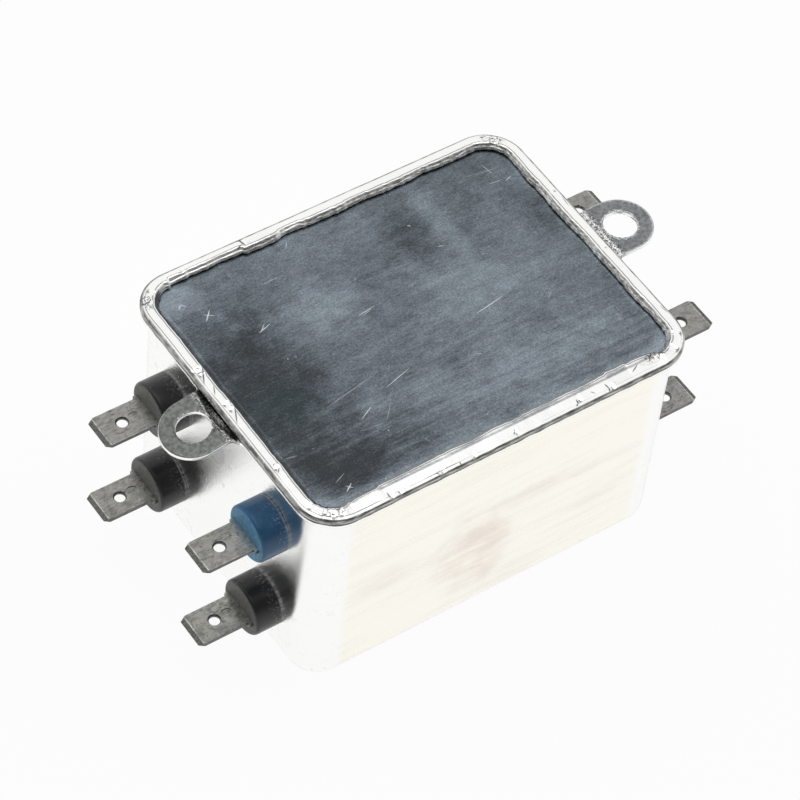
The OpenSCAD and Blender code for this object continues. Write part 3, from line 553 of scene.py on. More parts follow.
def can_tin(finish):
    """Tinned sheet of the can: creamy and smudged on its long walls, dull and speckled on the ears, painted
    shade on the bent ear.
    """
    material, tree, shader, here = new_material("Rubbed can tin")
    parts = put(tree, "ShaderNodeSeparateXYZ", {0: here})
    along, up = parts.outputs[0], parts.outputs[2]
    rub = use_group("Brush streaks", Vector=here, Scale=(0.05, 0.05, 0.5), Detail=5.0)
    fine = use_group("Brush streaks", Vector=here, Scale=(0.14, 0.14, 4.0), Detail=4.0)
    smear = noise(here, 0.12, 4, 0.6, 0.5)
    long_wall = times(between(facing(here, 1), 0.9, 0.995), between(absolute(along), 30.5, 28.5))
    colour = blend_colour(long_wall, (0.98, 0.98, 0.97), finish.wall_tin)
    stain = 0.0
    for centre, reach, softness, weight in (
            ((-4.5, 16.0), (9.5, 14.0), 0.6, 0.9), ((9.0, 24.5), (18.0, 4.0), 0.9, 0.5),
            ((21.0, 14.5), (8.0, 5.0), 0.9, 0.3), ((-22.0, 21.0), (9.0, 5.0), 0.9, 0.3),
            ((4.0, 5.0), (12.0, 3.0), 0.9, 0.25)):
        patch = use_group("Soft patch", Vector=here, Centre=(centre[0], 0.0, centre[1]),
                          Reach=(reach[0], ANY_DEPTH, reach[1]), Softness=softness, Unevenness=0.9)
        stain = largest(stain, times(patch, weight))
    patchy = plus(times(between(smear, 0.3, 0.62), 0.6), times(between(rub, 0.35, 0.68), 0.5))
    stain = times(stain, patchy, long_wall)
    colour = blend_colour(stain, colour, (0.82, 0.735, 0.655))
    veil = times(between(rub, 0.45, 0.75, 0.0, 0.35), long_wall)
    colour = blend_colour(veil, colour, (0.86, 0.83, 0.77))
    # ears
    level = between(facing(here, 2), 0.55, 0.9)
    ear = times(level, sums("GREATER_THAN", up, 30.0))
    mottle = noise(here, 1.4, 5, 0.65)
    dull = blend_colour(between(mottle, 0.32, 0.68), (0.34, 0.35, 0.35), (0.6, 0.62, 0.62))
    # painted shade: the bent-down line side ear is coloured darker than the level one
    bent_ear_shade = blend_colour(between(mottle, 0.32, 0.68), (0.12, 0.125, 0.12), (0.24, 0.25, 0.24))
    dull = blend_colour(between(along, 10.0, -10.0), dull, bent_ear_shade)
    ear_hair = use_group("Hairline scratches", Vector=here, Scale=(0.35, 0.35, 0.35), Width=0.006,
                         Share=0.6)
    dull = blend_colour(times(ear_hair, 0.4), dull, (0.7, 0.7, 0.7))
    crumbs = noise(here, 2.8, 4, 0.75)
    root = between(absolute(along), 39.4, 38.2)
    dull = blend_colour(root, dull,
                        blend_colour(between(crumbs, 0.4, 0.6), (0.08, 0.08, 0.08), (0.95, 0.95, 0.95)))
    ear = largest(ear, times(root, sums("GREATER_THAN", absolute(along), 37.2), 1.0))
    colour = blend_colour(ear, colour, dull)
    # darkening along the closed end's bend and the corner bends, specks, smudges and scuffs, and lint
    # beside the insulators
    low = bell(up, 2.6, 1.6)
    corner_line = bell(absolute(along), 31.0, 1.6)
    specks = use_group("Specks", Vector=here, Per_millimetre=1.1, Size=0.11, Share=0.035)
    gritty = noise(here, 1.5, 5, 0.75)
    # patchy darkening along the bend of the closed end and along the corner bends
    bend_darkening = times(largest(low, times(corner_line, 0.55)), between(gritty, 0.6, 0.68))
    smudge = times(between(noise(here, 0.3, 5, 0.7), 0.58, 0.7, 0.0, 0.45), minus(1.0, long_wall))
    scuffs = use_group("Hairline scratches", Vector=here, Scale=(0.25, 0.3, 0.25), Width=0.008, Share=0.5)
    dirt_and_bend_darkening = largest(specks, bend_darkening, times(scuffs, 0.4))
    dirt_and_bend_darkening = largest(dirt_and_bend_darkening, times(smudge, between(gritty, 0.45, 0.6)))
    colour = blend_colour(times(dirt_and_bend_darkening, 0.55), colour, (0.36, 0.36, 0.34))
    # flat grey oval on the line side wall below the ear, also a little rougher
    grey_oval = use_group("Soft patch", Vector=here, Centre=(-35.65, 2.2, 31.4), Reach=(1.5, 2.6, 3.2),
                     Softness=0.06, Unevenness=0.12)
    colour = blend_colour(times(grey_oval, 0.75), colour, (0.5, 0.5, 0.5))
    folded = vector_sums("ABSOLUTE", vector_sums("SUBTRACT", here, (0, 0, 20.925)))
    around = use_group("Soft patch", Vector=folded, Centre=(35.65, 14.0, 11.0), Reach=(3.0, 7.6, 7.6),
                       Softness=0.25, Unevenness=0.4)
    lint = use_group("Specks", Vector=here, Per_millimetre=2.6, Size=0.24, Share=0.3)
    lint = largest(lint, times(between(gritty, 0.58, 0.72), 0.4))
    lint = times(lint, around, between(facing(here, 0), 0.9, 0.97))
    colour = blend_colour(lint, colour, (0.85, 0.85, 0.84))
    tree.links.new(colour, shader.inputs["Base Color"])
    tree.links.new(minus(1.0, times(lint, 0.9)), shader.inputs["Metallic"])
    rough = between(rub, 0.3, 0.7, 0.1, 0.17)
    rough = plus(rough, times(long_wall, 0.12))
    rough = plus(rough, times(ear, 0.12))
    rough = plus(rough, times(lint, 0.5))
    tree.links.new(plus(rough, times(grey_oval, 0.2)), shader.inputs["Roughness"])
    height = plus(times(fine, times(long_wall, 0.35)), times(noise(here, 0.4, 3), 0.4))
    height = plus(height, times(largest(dirt_and_bend_darkening, lint), 0.6))
    height = plus(height, times(crumbs, root, 2.0))
    bump(shader, height, 0.02)
    return material


def tab_tin(finish):
    """Dulled, stained tin of the push-on tabs, with painted shade on the cut edges and the tapered tip."""
    material, tree, shader, here = new_material("Dulled tab tin", Metallic=1.0)
    parts = put(tree, "ShaderNodeSeparateXYZ", {0: here})
    reach = absolute(parts.outputs[0])
    stains = noise(here, 0.55, 5, 0.65, 0.6)
    fine = use_group("Brush streaks", Vector=here, Scale=(0.9, 5.0, 5.0), Detail=5.0)
    colour = blend_colour(between(stains, 0.34, 0.66), [c * 0.38 for c in finish.tab], finish.tab)
    colour = blend_colour(between(fine, 0.35, 0.7, 0.0, 0.45), colour, (0.9, 0.9, 0.86))
    # painted shade: faces not turned up or down, and the tapered tip, coloured dark
    side = between(facing(here, 2), 0.975, 0.9)
    tip = between(plus(reach, times(fine, 0.3)), 49.65, 49.85)
    dark = largest(side, tip)
    edge = blend_colour(between(fine, 0.3, 0.7), (0.05, 0.05, 0.047), (0.2, 0.2, 0.19))
    colour = blend_colour(dark, colour, edge)
    specks = use_group("Specks", Vector=here, Per_millimetre=1.6, Size=0.2, Share=0.14)
    smear = between(noise(here, 1.9, 5, 0.7), 0.57, 0.66, 0.0, 0.7)
    colour = blend_colour(largest(times(specks, 0.75), smear), colour, (0.13, 0.13, 0.12))
    tree.links.new(colour, shader.inputs["Base Color"])
    tree.links.new(between(stains, 0.35, 0.65, 0.38, 0.28), shader.inputs["Roughness"])
    bump(shader, plus(times(stains, 0.8), times(fine, 0.4)), 0.03)
    return material


def moulded(name, shaded_side_colour, lit_end_colour):
    """Moulded plastic: glossy round its side, rougher on its end, painted shade on the side and painted
    light on the end, dust gathered at the wall.
    """
    material, tree, shader, here = new_material(name, Metallic=0.0)
    parts = put(tree, "ShaderNodeSeparateXYZ", {0: here})
    reach = absolute(parts.outputs[0])
    cloud = noise(here, 0.5, 4)
    colour = blend_colour(between(cloud, 0.3, 0.75), shaded_side_colour,
                          [min(1.0, c * 1.5 + 0.002) for c in shaded_side_colour])
    # painted light and shade: the end coloured lighter and the side darker than one and the same plastic
    end = times(between(facing(here, 0), 0.75, 0.97), between(reach, 40.0, 40.4))
    end_mottle = noise(here, 1.6, 5, 0.65)
    ends = blend_colour(between(end_mottle, 0.3, 0.7), [c * 0.72 for c in lit_end_colour],
                        [min(1.0, c * 1.3) for c in lit_end_colour])
    colour = blend_colour(end, colour, ends)
    dust = use_group("Specks", Vector=here, Per_millimetre=2.4, Size=0.17, Share=0.1)
    gritty = noise(here, 2.2, 5, 0.75)
    collar = between(plus(reach, times(gritty, 0.5)), 36.4, 35.95)
    film = times(between(reach, 38.6, 36.4), between(gritty, 0.52, 0.66, 0.0, 0.4))
    dust = largest(times(dust, 0.7), film)
    dust = largest(dust, times(collar, between(gritty, 0.38, 0.6, 0.1, 0.8)))
    colour = blend_colour(dust, colour, (0.6, 0.61, 0.6))
    tree.links.new(colour, shader.inputs["Base Color"])
    rough = between(cloud, 0.3, 0.75, 0.28, 0.42)
    rough = plus(rough, times(largest(end, dust), 0.25))
    tree.links.new(rough, shader.inputs["Roughness"])
    bump(shader, plus(noise(here, 5.0, 3), times(dust, 1.5)), 0.02)
    return material


def inner_finish(name, first, second, metallic, roughness, scale):
    """Finish of a piece inside the closed can: a mottled colour with a fine grain."""
    material, tree, shader, here = new_material(name, Metallic=metallic)
    cloud = noise(here, scale, 4)
    tree.links.new(blend_colour(between(cloud, 0.3, 0.7), first, second), shader.inputs["Base Color"])
    tree.links.new(between(cloud, 0.3, 0.7, roughness, roughness + 0.15), shader.inputs["Roughness"])
    bump(shader, noise(here, scale * 8, 3), 0.03)
    return material


INNER_FINISHES = {
    "insulating_sheet": ((0.42, 0.44, 0.36), (0.55, 0.56, 0.47), 0.0, 0.7, 0.6),
    "potting_resin": ((0.02, 0.02, 0.023), (0.05, 0.05, 0.055), 0.0, 0.35, 0.2),
    "carrier_plastic": ((0.8, 0.78, 0.7), (0.88, 0.86, 0.8), 0.0, 0.4, 0.4),
    "ferrite": ((0.05, 0.05, 0.055), (0.1, 0.1, 0.11), 0.0, 0.5, 0.8),
    "copper_wire": ((0.5, 0.2, 0.08), (0.78, 0.38, 0.18), 1.0, 0.25, 1.2),
    "board_laminate": ((0.03, 0.16, 0.06), (0.05, 0.24, 0.1), 0.0, 0.4, 0.5),
    "film_box": ((0.7, 0.5, 0.06), (0.82, 0.62, 0.12), 0.0, 0.35, 0.5),
    "disc_coating": ((0.03, 0.11, 0.36), (0.06, 0.18, 0.48), 0.0, 0.35, 0.8),
    "resistor_body": ((0.5, 0.36, 0.18), (0.64, 0.5, 0.3), 0.0, 0.4, 0.9),
    "strap_steel": ((0.6, 0.61, 0.6), (0.75, 0.76, 0.75), 1.0, 0.3, 1.0),
}


# ---------------------------------------------------------------- mesh building

def smooth_noise(length, shortest, longest, seed, count=40):
    """Even, closed noise along a loop of the given length: returns a function of the place along it."""
    rng = np.random.default_rng(seed)
    low, high = max(1, int(length / longest)), max(2, int(length / shortest))
    waves = rng.integers(low, high + 1, count)
    phases = rng.uniform(0, 2 * np.pi, count)
    sizes = rng.normal(0, 1, count)
    scale = 1.0 / np.sqrt(0.5 * np.sum(sizes ** 2))
    return lambda s: scale * np.sum(
        sizes * np.sin(2 * np.pi * np.outer(s, waves) / length + phases), axis=1)


class Loop:
    """Stations round the rounded rectangle that the rim and the can share."""

    def __init__(self, sizes, step):
        radius = sizes.corner_radius
        self.radius = radius
        cx, cy = RIM_HIGH.x - radius, RIM_HIGH.y - radius
        quarter = math.pi / 2 * radius
        centres, turns, sides, places = [], [], [], []
        runs = [("load", (cx, -cy), (cx, cy), 0.0), ("far", (cx, cy), (-cx, cy), 90.0),
                ("line", (-cx, cy), (-cx, -cy), 180.0), ("near", (-cx, -cy), (cx, -cy), 270.0)]
        for name, start, end, turn in runs:
            start, end = np.array(start), np.array(end)
            count = max(2, int(round(np.linalg.norm(end - start) / step)))
            for share in np.arange(count) / count:
                point = start + (end - start) * share
                centres.append(point)
                turns.append(turn)
                sides.append(name)
                places.append(point[0] if name in ("near", "far") else point[1])
            bend = max(4, int(round(quarter / step)))
            for share in np.arange(bend) / bend:
                centres.append(end)
                turns.append(turn + 90.0 * share)
                sides.append(name + "_corner")
                places.append(90.0 * share)
        self.centres = np.array(centres)
        angles = np.radians(turns)
        self.normals = np.stack([np.cos(angles), np.sin(angles)], 1)
        self.sides = np.array(sides)
        self.places = np.array(places)
        outer = self.centres + self.normals * radius
        gaps = np.linalg.norm(np.roll(outer, -1, 0) - outer, axis=1)
        self.along = np.concatenate([[0], np.cumsum(gaps)[:-1]])
        self.length = gaps.sum()

    def side(self, *names):
        return np.isin(self.sides, names)

    def near_place(self, name, place, width):
        """Hump of the given width round one place on one side, at every station."""
        hump = np.exp(-((self.places - place * (1.0 if "corner" in name else MM)) / width) ** 2)
        return np.where(self.side(name), hump, 0.0)


def new_object(name, content):
    made = bpy.data.objects.new(name, content)
    bpy.context.scene.collection.objects.link(made)
    return made


def smoothed(values, rounds):
    """Values round the closed loop, evened out the given number of times."""
    for _ in range(rounds):
        values = (np.roll(values, 1) + values * 2 + np.roll(values, -1)) / 4
    return values


def sweep(name, loop, depth, height):
    """Mesh swept round the loop. depth and height are arrays, station by point: the distance inwards from
    the rim's outer edge, and Z. The first and last rings are closed with caps."""
    stations, points = depth.shape
    reach = loop.radius - depth
    xy = loop.centres[:, None, :] + loop.normals[:, None, :] * reach[:, :, None]
    verts = np.concatenate([xy, height[:, :, None]], 2).reshape(-1, 3)
    mesh = bpy.data.meshes.new(name)
    faces = []
    for i in range(stations):
        j = (i + 1) % stations
        for k in range(points - 1):
            faces.append((i * points + k, j * points + k, j * points + k + 1, i * points + k + 1))
    faces.append([i * points for i in range(stations)][::-1])
    faces.append([i * points + points - 1 for i in range(stations)])
    mesh.from_pydata(verts.tolist(), [], faces)
    mesh.update()
    return new_object(name, mesh)


def finish_mesh(made, *materials):
    """Smooth shading, outward faces and the materials of a piece."""
    work = bmesh.new()
    work.from_mesh(made.data)
    bmesh.ops.recalc_face_normals(work, faces=work.faces)
    work.to_mesh(made.data)
    work.free()
    made.data.polygons.foreach_set("use_smooth", [True] * len(made.data.polygons))
    for material in materials:
        made.data.materials.append(material)
    made.data.update()


def arc(cx, cz, radius, start, end, count):
    """Points on an arc, as distance and height. Angles in degrees from straight up, towards the inside."""
    return [(cx + radius * math.sin(math.radians(a)), cz + radius * math.cos(math.radians(a)))
            for a in np.linspace(start, end, count)]


def build_plate(sizes):
    """Closing plate: panel with a worn step round it, and the rolled rim with its folds and dents."""
    loop = Loop(sizes, 0.27 * MM)
    top, low = RIM_HIGH.z, RIM_LOW.z
    bend, thick = sizes.bend_radius, sizes.plate_thickness
    crest, crest_z = sizes.crest, top - bend
    corner_z = crest_z - sizes.crown_rise
    crown = math.degrees(math.atan(sizes.crown_rise / (crest - bend)))
    slope = math.degrees(sizes.lip_slope)
    panel = low + thick
    gap = 0.1 * MM
    tan_slope = math.tan(sizes.lip_slope)
    lip_in = crest + (crest_z - panel - gap) / tan_slope
    edge = (lip_in + thick * math.sin(sizes.lip_slope), panel + gap + thick * math.cos(sizes.lip_slope))
    slope_start = (crest + bend * math.sin(sizes.lip_slope), crest_z + bend * math.cos(sizes.lip_slope))

    path = [(6.6 * MM, low), (2.5 * MM, low), (0.9 * MM, low)]
    path += arc(bend, low + bend, bend, 180, 270, 7)
    path += [(0.0, low + bend + (corner_z - low - bend) * 0.5)]
    path += arc(bend, corner_z, bend, 270, 360 - crown, 9)
    crown_start, crown_end = path[-1], arc(crest, crest_z, bend, -crown, -crown, 1)[0]
    for share in np.linspace(0, 1, 10)[1:-1]:
        path.append((crown_start[0] + (crown_end[0] - crown_start[0]) * share,
                     crown_start[1] + (crown_end[1] - crown_start[1]) * share))
    path += arc(crest, crest_z, bend, -crown, slope, 8)
    fall = slope_start[1] - edge[1]
    for across, down in ((0.1, 0.14), (0.22, 0.3), (0.32, 0.41), (0.42, 0.46), (0.52, 0.5), (0.6, 0.56),
                         (0.68, 0.66), (0.76, 0.78), (0.86, 0.9)):
        path.append((slope_start[0] + (edge[0] - slope_start[0]) * across, slope_start[1] - fall * down))
    round_edge = 0.12 * MM
    down = (math.cos(sizes.lip_slope), -math.sin(sizes.lip_slope))
    under = (-math.sin(sizes.lip_slope), -math.cos(sizes.lip_slope))
    path.append((edge[0] + under[0] * round_edge * 0.3, edge[1] + under[1] * round_edge * 0.3))
    path.append((edge[0] + under[0] * round_edge, edge[1] + under[1] * round_edge))
    path.append((edge[0] + under[0] * thick * 0.9, edge[1] + under[1] * thick * 0.9))
    path.append((crest + 0.1 * MM, crest_z - 0.1 * MM))
    path.append((thick + 0.1 * MM, corner_z - 0.1 * MM))
    path.append((thick, panel + 0.1 * MM))
    hem_points = len(path)
    panel_depths = np.concatenate([[thick + 0.1 * MM, 1.6 * MM], np.arange(2.4, 6.61, 0.21) * MM])
    path += [(d, panel) for d in panel_depths]

    stations = len(loop.along)
    base = np.array(path)
    depth = np.repeat(base[None, :, 0], stations, 0)
    height = np.repeat(base[None, :, 1], stations, 0)
    s = loop.along
    wave = smooth_noise(loop.length, 6 * MM, 40 * MM, 11)(s)
    ripple = smooth_noise(loop.length, 1.2 * MM, 6 * MM, 12)(s)
    edge_wave = smooth_noise(loop.length, 5 * MM, 26 * MM, 13, 60)(s)
    side_near, side_far = loop.side("near"), loop.side("far")
    side_line, side_load = loop.side("line"), loop.side("load")

    # crest and free edge: their distance from the outer edge drifts along the rim
    crest_shift = np.where(side_near, NEAR_CREST_SHIFT, 0.0)
    crest_shift = smoothed(crest_shift, 26)
    drop = crest_shift * (sizes.crown_rise / (crest - bend))
    crest_shift = crest_shift + (0.05 * wave + 0.015 * ripple) * MM
    steps = [("far", -33.0, -15.4, -0.5), ("far", -15.4, -9.0, 0.1), ("far", -9.0, -4.0, -0.25),
             ("far", 4.0, 9.0, -0.2), ("far", 12.0, 16.0, 0.12), ("near", -30.0, -24.0, -0.3),
             ("near", 3.0, 8.5, 0.12), ("near", 19.5, 24.0, 0.25)]
    for name, start, end, shift in steps:
        inside = loop.side(name) & (loop.places > start * MM) & (loop.places < end * MM)
        ramp = np.clip(np.minimum(loop.places - start * MM, end * MM - loop.places) / (0.5 * MM), 0, 1)
        crest_shift += np.where(inside, shift * MM * ramp, 0.0)
    edge_shift = crest_shift + (0.05 * edge_wave + 0.02 * ripple) * MM
    hem = np.arange(len(path)) < hem_points
    share_in = np.clip((depth - 0.4 * MM) / (crest - 0.4 * MM), 0, 1) * hem
    share_edge = np.clip((depth - crest) / (edge[0] - crest), 0, 1) * hem
    lowered = np.clip((height - panel) / (corner_z - panel), 0, 1) * (1 - share_in) * hem
    depth = depth + crest_shift[:, None] * share_in * (1 - share_edge) + edge_shift[:, None] * share_edge
    height = height - drop[:, None] * lowered
    upper = np.clip((height - (low + bend)) / (top - low - bend), 0, 1) * hem
    height = height + upper * ((0.02 * wave - 0.035)[:, None] * MM)
    crease = np.clip(1 - np.abs(depth - crest_shift[:, None] - 2.72 * MM) / (0.3 * MM), 0, 1) * hem
    height = height + crease * (0.06 * smooth_noise(loop.length, 3 * MM, 16 * MM, 23)(s)[:, None] * MM)

    # fine double line of the forming tool beside the outer corner
    groove = np.exp(-((depth - GROOVE_PLACE) / GROOVE_WIDTH) ** 2) * hem * (height > corner_z)
    line_strength = np.clip(0.6 + 0.5 * smooth_noise(loop.length, 8 * MM, 60 * MM, 17)(s), 0.0, 1.2)
    line_strength = np.where(side_far, 0.25 * line_strength, line_strength)
    height = height - groove * line_strength[:, None] * 0.02 * MM

    # folds and tool nicks across the rim: side, place, width, depth of the nick, inner and outer end
    nicks = [
        ("near", -23.2, 0.32, 0.34, 0.1, 1.5), ("near", -21.6, 0.25, 0.2, 0.1, 1.1),
        ("near", -13.6, 0.3, 0.22, 0.2, 1.3), ("near", -7.6, 0.3, 0.24, 0.2, 1.3),
        ("near", 0.8, 0.28, 0.18, 0.6, 1.7), ("near", 13.3, 0.35, 0.3, 0.9, 2.3),
        ("near", 19.4, 0.4, 0.34, 0.2, 1.4), ("far", -15.1, 0.45, 0.4, 0.2, 1.9),
        ("far", -27.0, 0.3, 0.2, 1.0, 2.0), ("line", 8.3, 0.4, 0.35, 0.3, 2.3),
        ("line", 7.2, 0.3, 0.25, 0.9, 2.3), ("line", 0.2, 0.3, 0.3, 1.0, 2.4),
        ("line", -1.2, 0.3, 0.2, 1.2, 2.4), ("line", -14.6, 0.35, 0.22, 0.9, 2.2),
        ("load", 11.0, 0.3, 0.2, 0.8, 2.0), ("load", -3.5, 0.3, 0.15, 0.8, 2.0),
        ("near_corner", 30.0, 4.0, 0.3, 0.6, 2.6), ("near_corner", 62.0, 3.0, 0.25, 0.6, 2.4),
        ("far_corner", 40.0, 4.0, 0.35, 0.8, 2.6), ("far_corner", 63.0, 3.0, 0.3, 0.4, 2.2),
        ("line_corner", 20.0, 4.0, 0.3, 0.8, 2.8), ("line_corner", 45.0, 4.0, 0.38, 0.9, 2.9),
        ("line_corner", 70.0, 3.5, 0.3, 0.7, 2.6), ("load_corner", 35.0, 3.5, 0.22, 0.8, 2.5),
        ("load_corner", 66.0, 3.5, 0.22, 0.8, 2.4),
    ]
    for name, place, width, deep, start, end in nicks:
        scale = 1.0 if "corner" in name else MM
        hump = loop.near_place(name, place, width * scale)
        skewed = loop.near_place(name, place + width * 1.5, width * scale)
        window = np.clip(np.minimum(depth - start * MM, end * MM - depth) / (0.35 * MM), 0, 1) * hem
        above = height > corner_z - 0.2 * MM
        height = height - window * hump[:, None] * deep * 0.5 * MM * above
        height = height + window * skewed[:, None] * deep * 0.12 * MM * above

    # worn step of the panel round its edge
    flat = ~hem
    where = np.full(stations, LEDGE_PLACE) + (0.1 * edge_wave + 0.15 * wave) * MM
    amount = np.where(side_line, 0.13, np.where(side_near, 0.07, np.where(side_load, 0.08, 0.03)))
    amount = smoothed(amount, 30)
    where = smoothed(np.where(side_load, where - 0.4 * MM, where), 30)
    ledge = 1 / (1 + np.exp((depth - where[:, None]) / (0.14 * MM)))
    height = height + flat * ledge * amount[:, None] * MM

    made = sweep("closing_plate_formed", loop, depth, height)
    finish_mesh(made)
    return made, hem_points, len(path)


def split_materials(made, limit_index, points, stations):
    """Second material from the given point of the section inwards, and on the last cap."""
    polygons = made.data.polygons
    for index in range(stations * (points - 1)):
        if index % (points - 1) >= limit_index:
            polygons[index].material_index = 1
    polygons[len(polygons) - 1].material_index = 1


def build_can(sizes):
    """Can: closed end, walls with a little unevenness, and the flange under the rim."""
    loop = Loop(sizes, 0.5 * MM)
    inset, thick, round_end = sizes.wall_inset, sizes.can_thickness, sizes.bottom_radius
    flange_top = RIM_LOW.z
    flange_low = flange_top - thick
    bend = 0.5 * MM
    lip = 0.15 * MM
    path = [(inset + round_end, 0.0)]
    path += arc(inset + round_end, round_end, round_end, 180, 270, 14)[1:]
    for z in np.linspace(round_end, flange_low - bend, 26)[1:]:
        path.append((inset, z))
    path += [(inset - bend + bend * math.cos(a), flange_low - bend + bend * math.sin(a))
             for a in np.linspace(0, math.pi / 2, 6)[1:]]
    path += [(lip + 0.12 * MM, flange_low), (lip + 0.03 * MM, flange_low + 0.04 * MM),
             (lip, flange_low + 0.13 * MM), (lip, flange_top - 0.13 * MM),
             (lip + 0.03 * MM, flange_top - 0.04 * MM), (lip + 0.12 * MM, flange_top - 0.005 * MM),
             (inset + thick, flange_top - 0.005 * MM), (inset + thick, round_end),
             (inset + round_end, thick)]
    base = np.array(path)
    stations = len(loop.along)
    depth = np.repeat(base[None, :, 0], stations, 0)
    height = np.repeat(base[None, :, 1], stations, 0)
    s = loop.along
    rng = np.random.default_rng(5)
    wall = np.clip(np.minimum(height - 1.0 * MM, flange_low - 1.0 * MM - height) / (5 * MM), 0, 1)
    wall = wall * (np.abs(depth - inset) < 0.3 * MM)
    bulge = np.zeros_like(depth)
    for k in range(5):
        along = smooth_noise(loop.length, 14 * MM, 70 * MM, 30 + k)(s)
        up = np.sin(np.pi * (k + 1) * height / flange_low + rng.uniform(0, 6.28))
        bulge += along[:, None] * up / (k + 1)
    depth = depth + wall * (0.03 * MM * bulge + 0.03 * MM)
    lip_wave = smooth_noise(loop.length, 3 * MM, 30 * MM, 41)(s)
    flange = (depth < lip + 0.2 * MM) & (height > flange_low - 0.1 * MM)
    depth = depth + flange * (0.03 * MM * lip_wave[:, None])
    made = sweep("can_drawn", loop, depth, height)
    finish_mesh(made)
    return made


def ear_outline(sizes, root, lip):
    """Plan of one ear, from its root line outwards: fillets, straight sides and round end."""
    centre, radius, fillet = sizes.ear_pitch / 2, sizes.ear_radius, 1.5 * MM
    points = [(root, -(radius + fillet)), (lip, -(radius + fillet))]
    for a in np.linspace(180, 90, 10)[1:]:
        a = math.radians(a)
        points.append((lip + fillet + fillet * math.cos(a), -(radius + fillet) + fillet * math.sin(a)))
    for a in np.linspace(-90, 90, 46):
        a = math.radians(a)
        points.append((centre + radius * math.cos(a), radius * math.sin(a)))
    for a in np.linspace(270, 180, 10)[:-1]:
        a = math.radians(a)
        points.append((lip + fillet + fillet * math.cos(a), radius + fillet + fillet * math.sin(a)))
    points += [(lip, radius + fillet), (root, radius + fillet)]
    return points


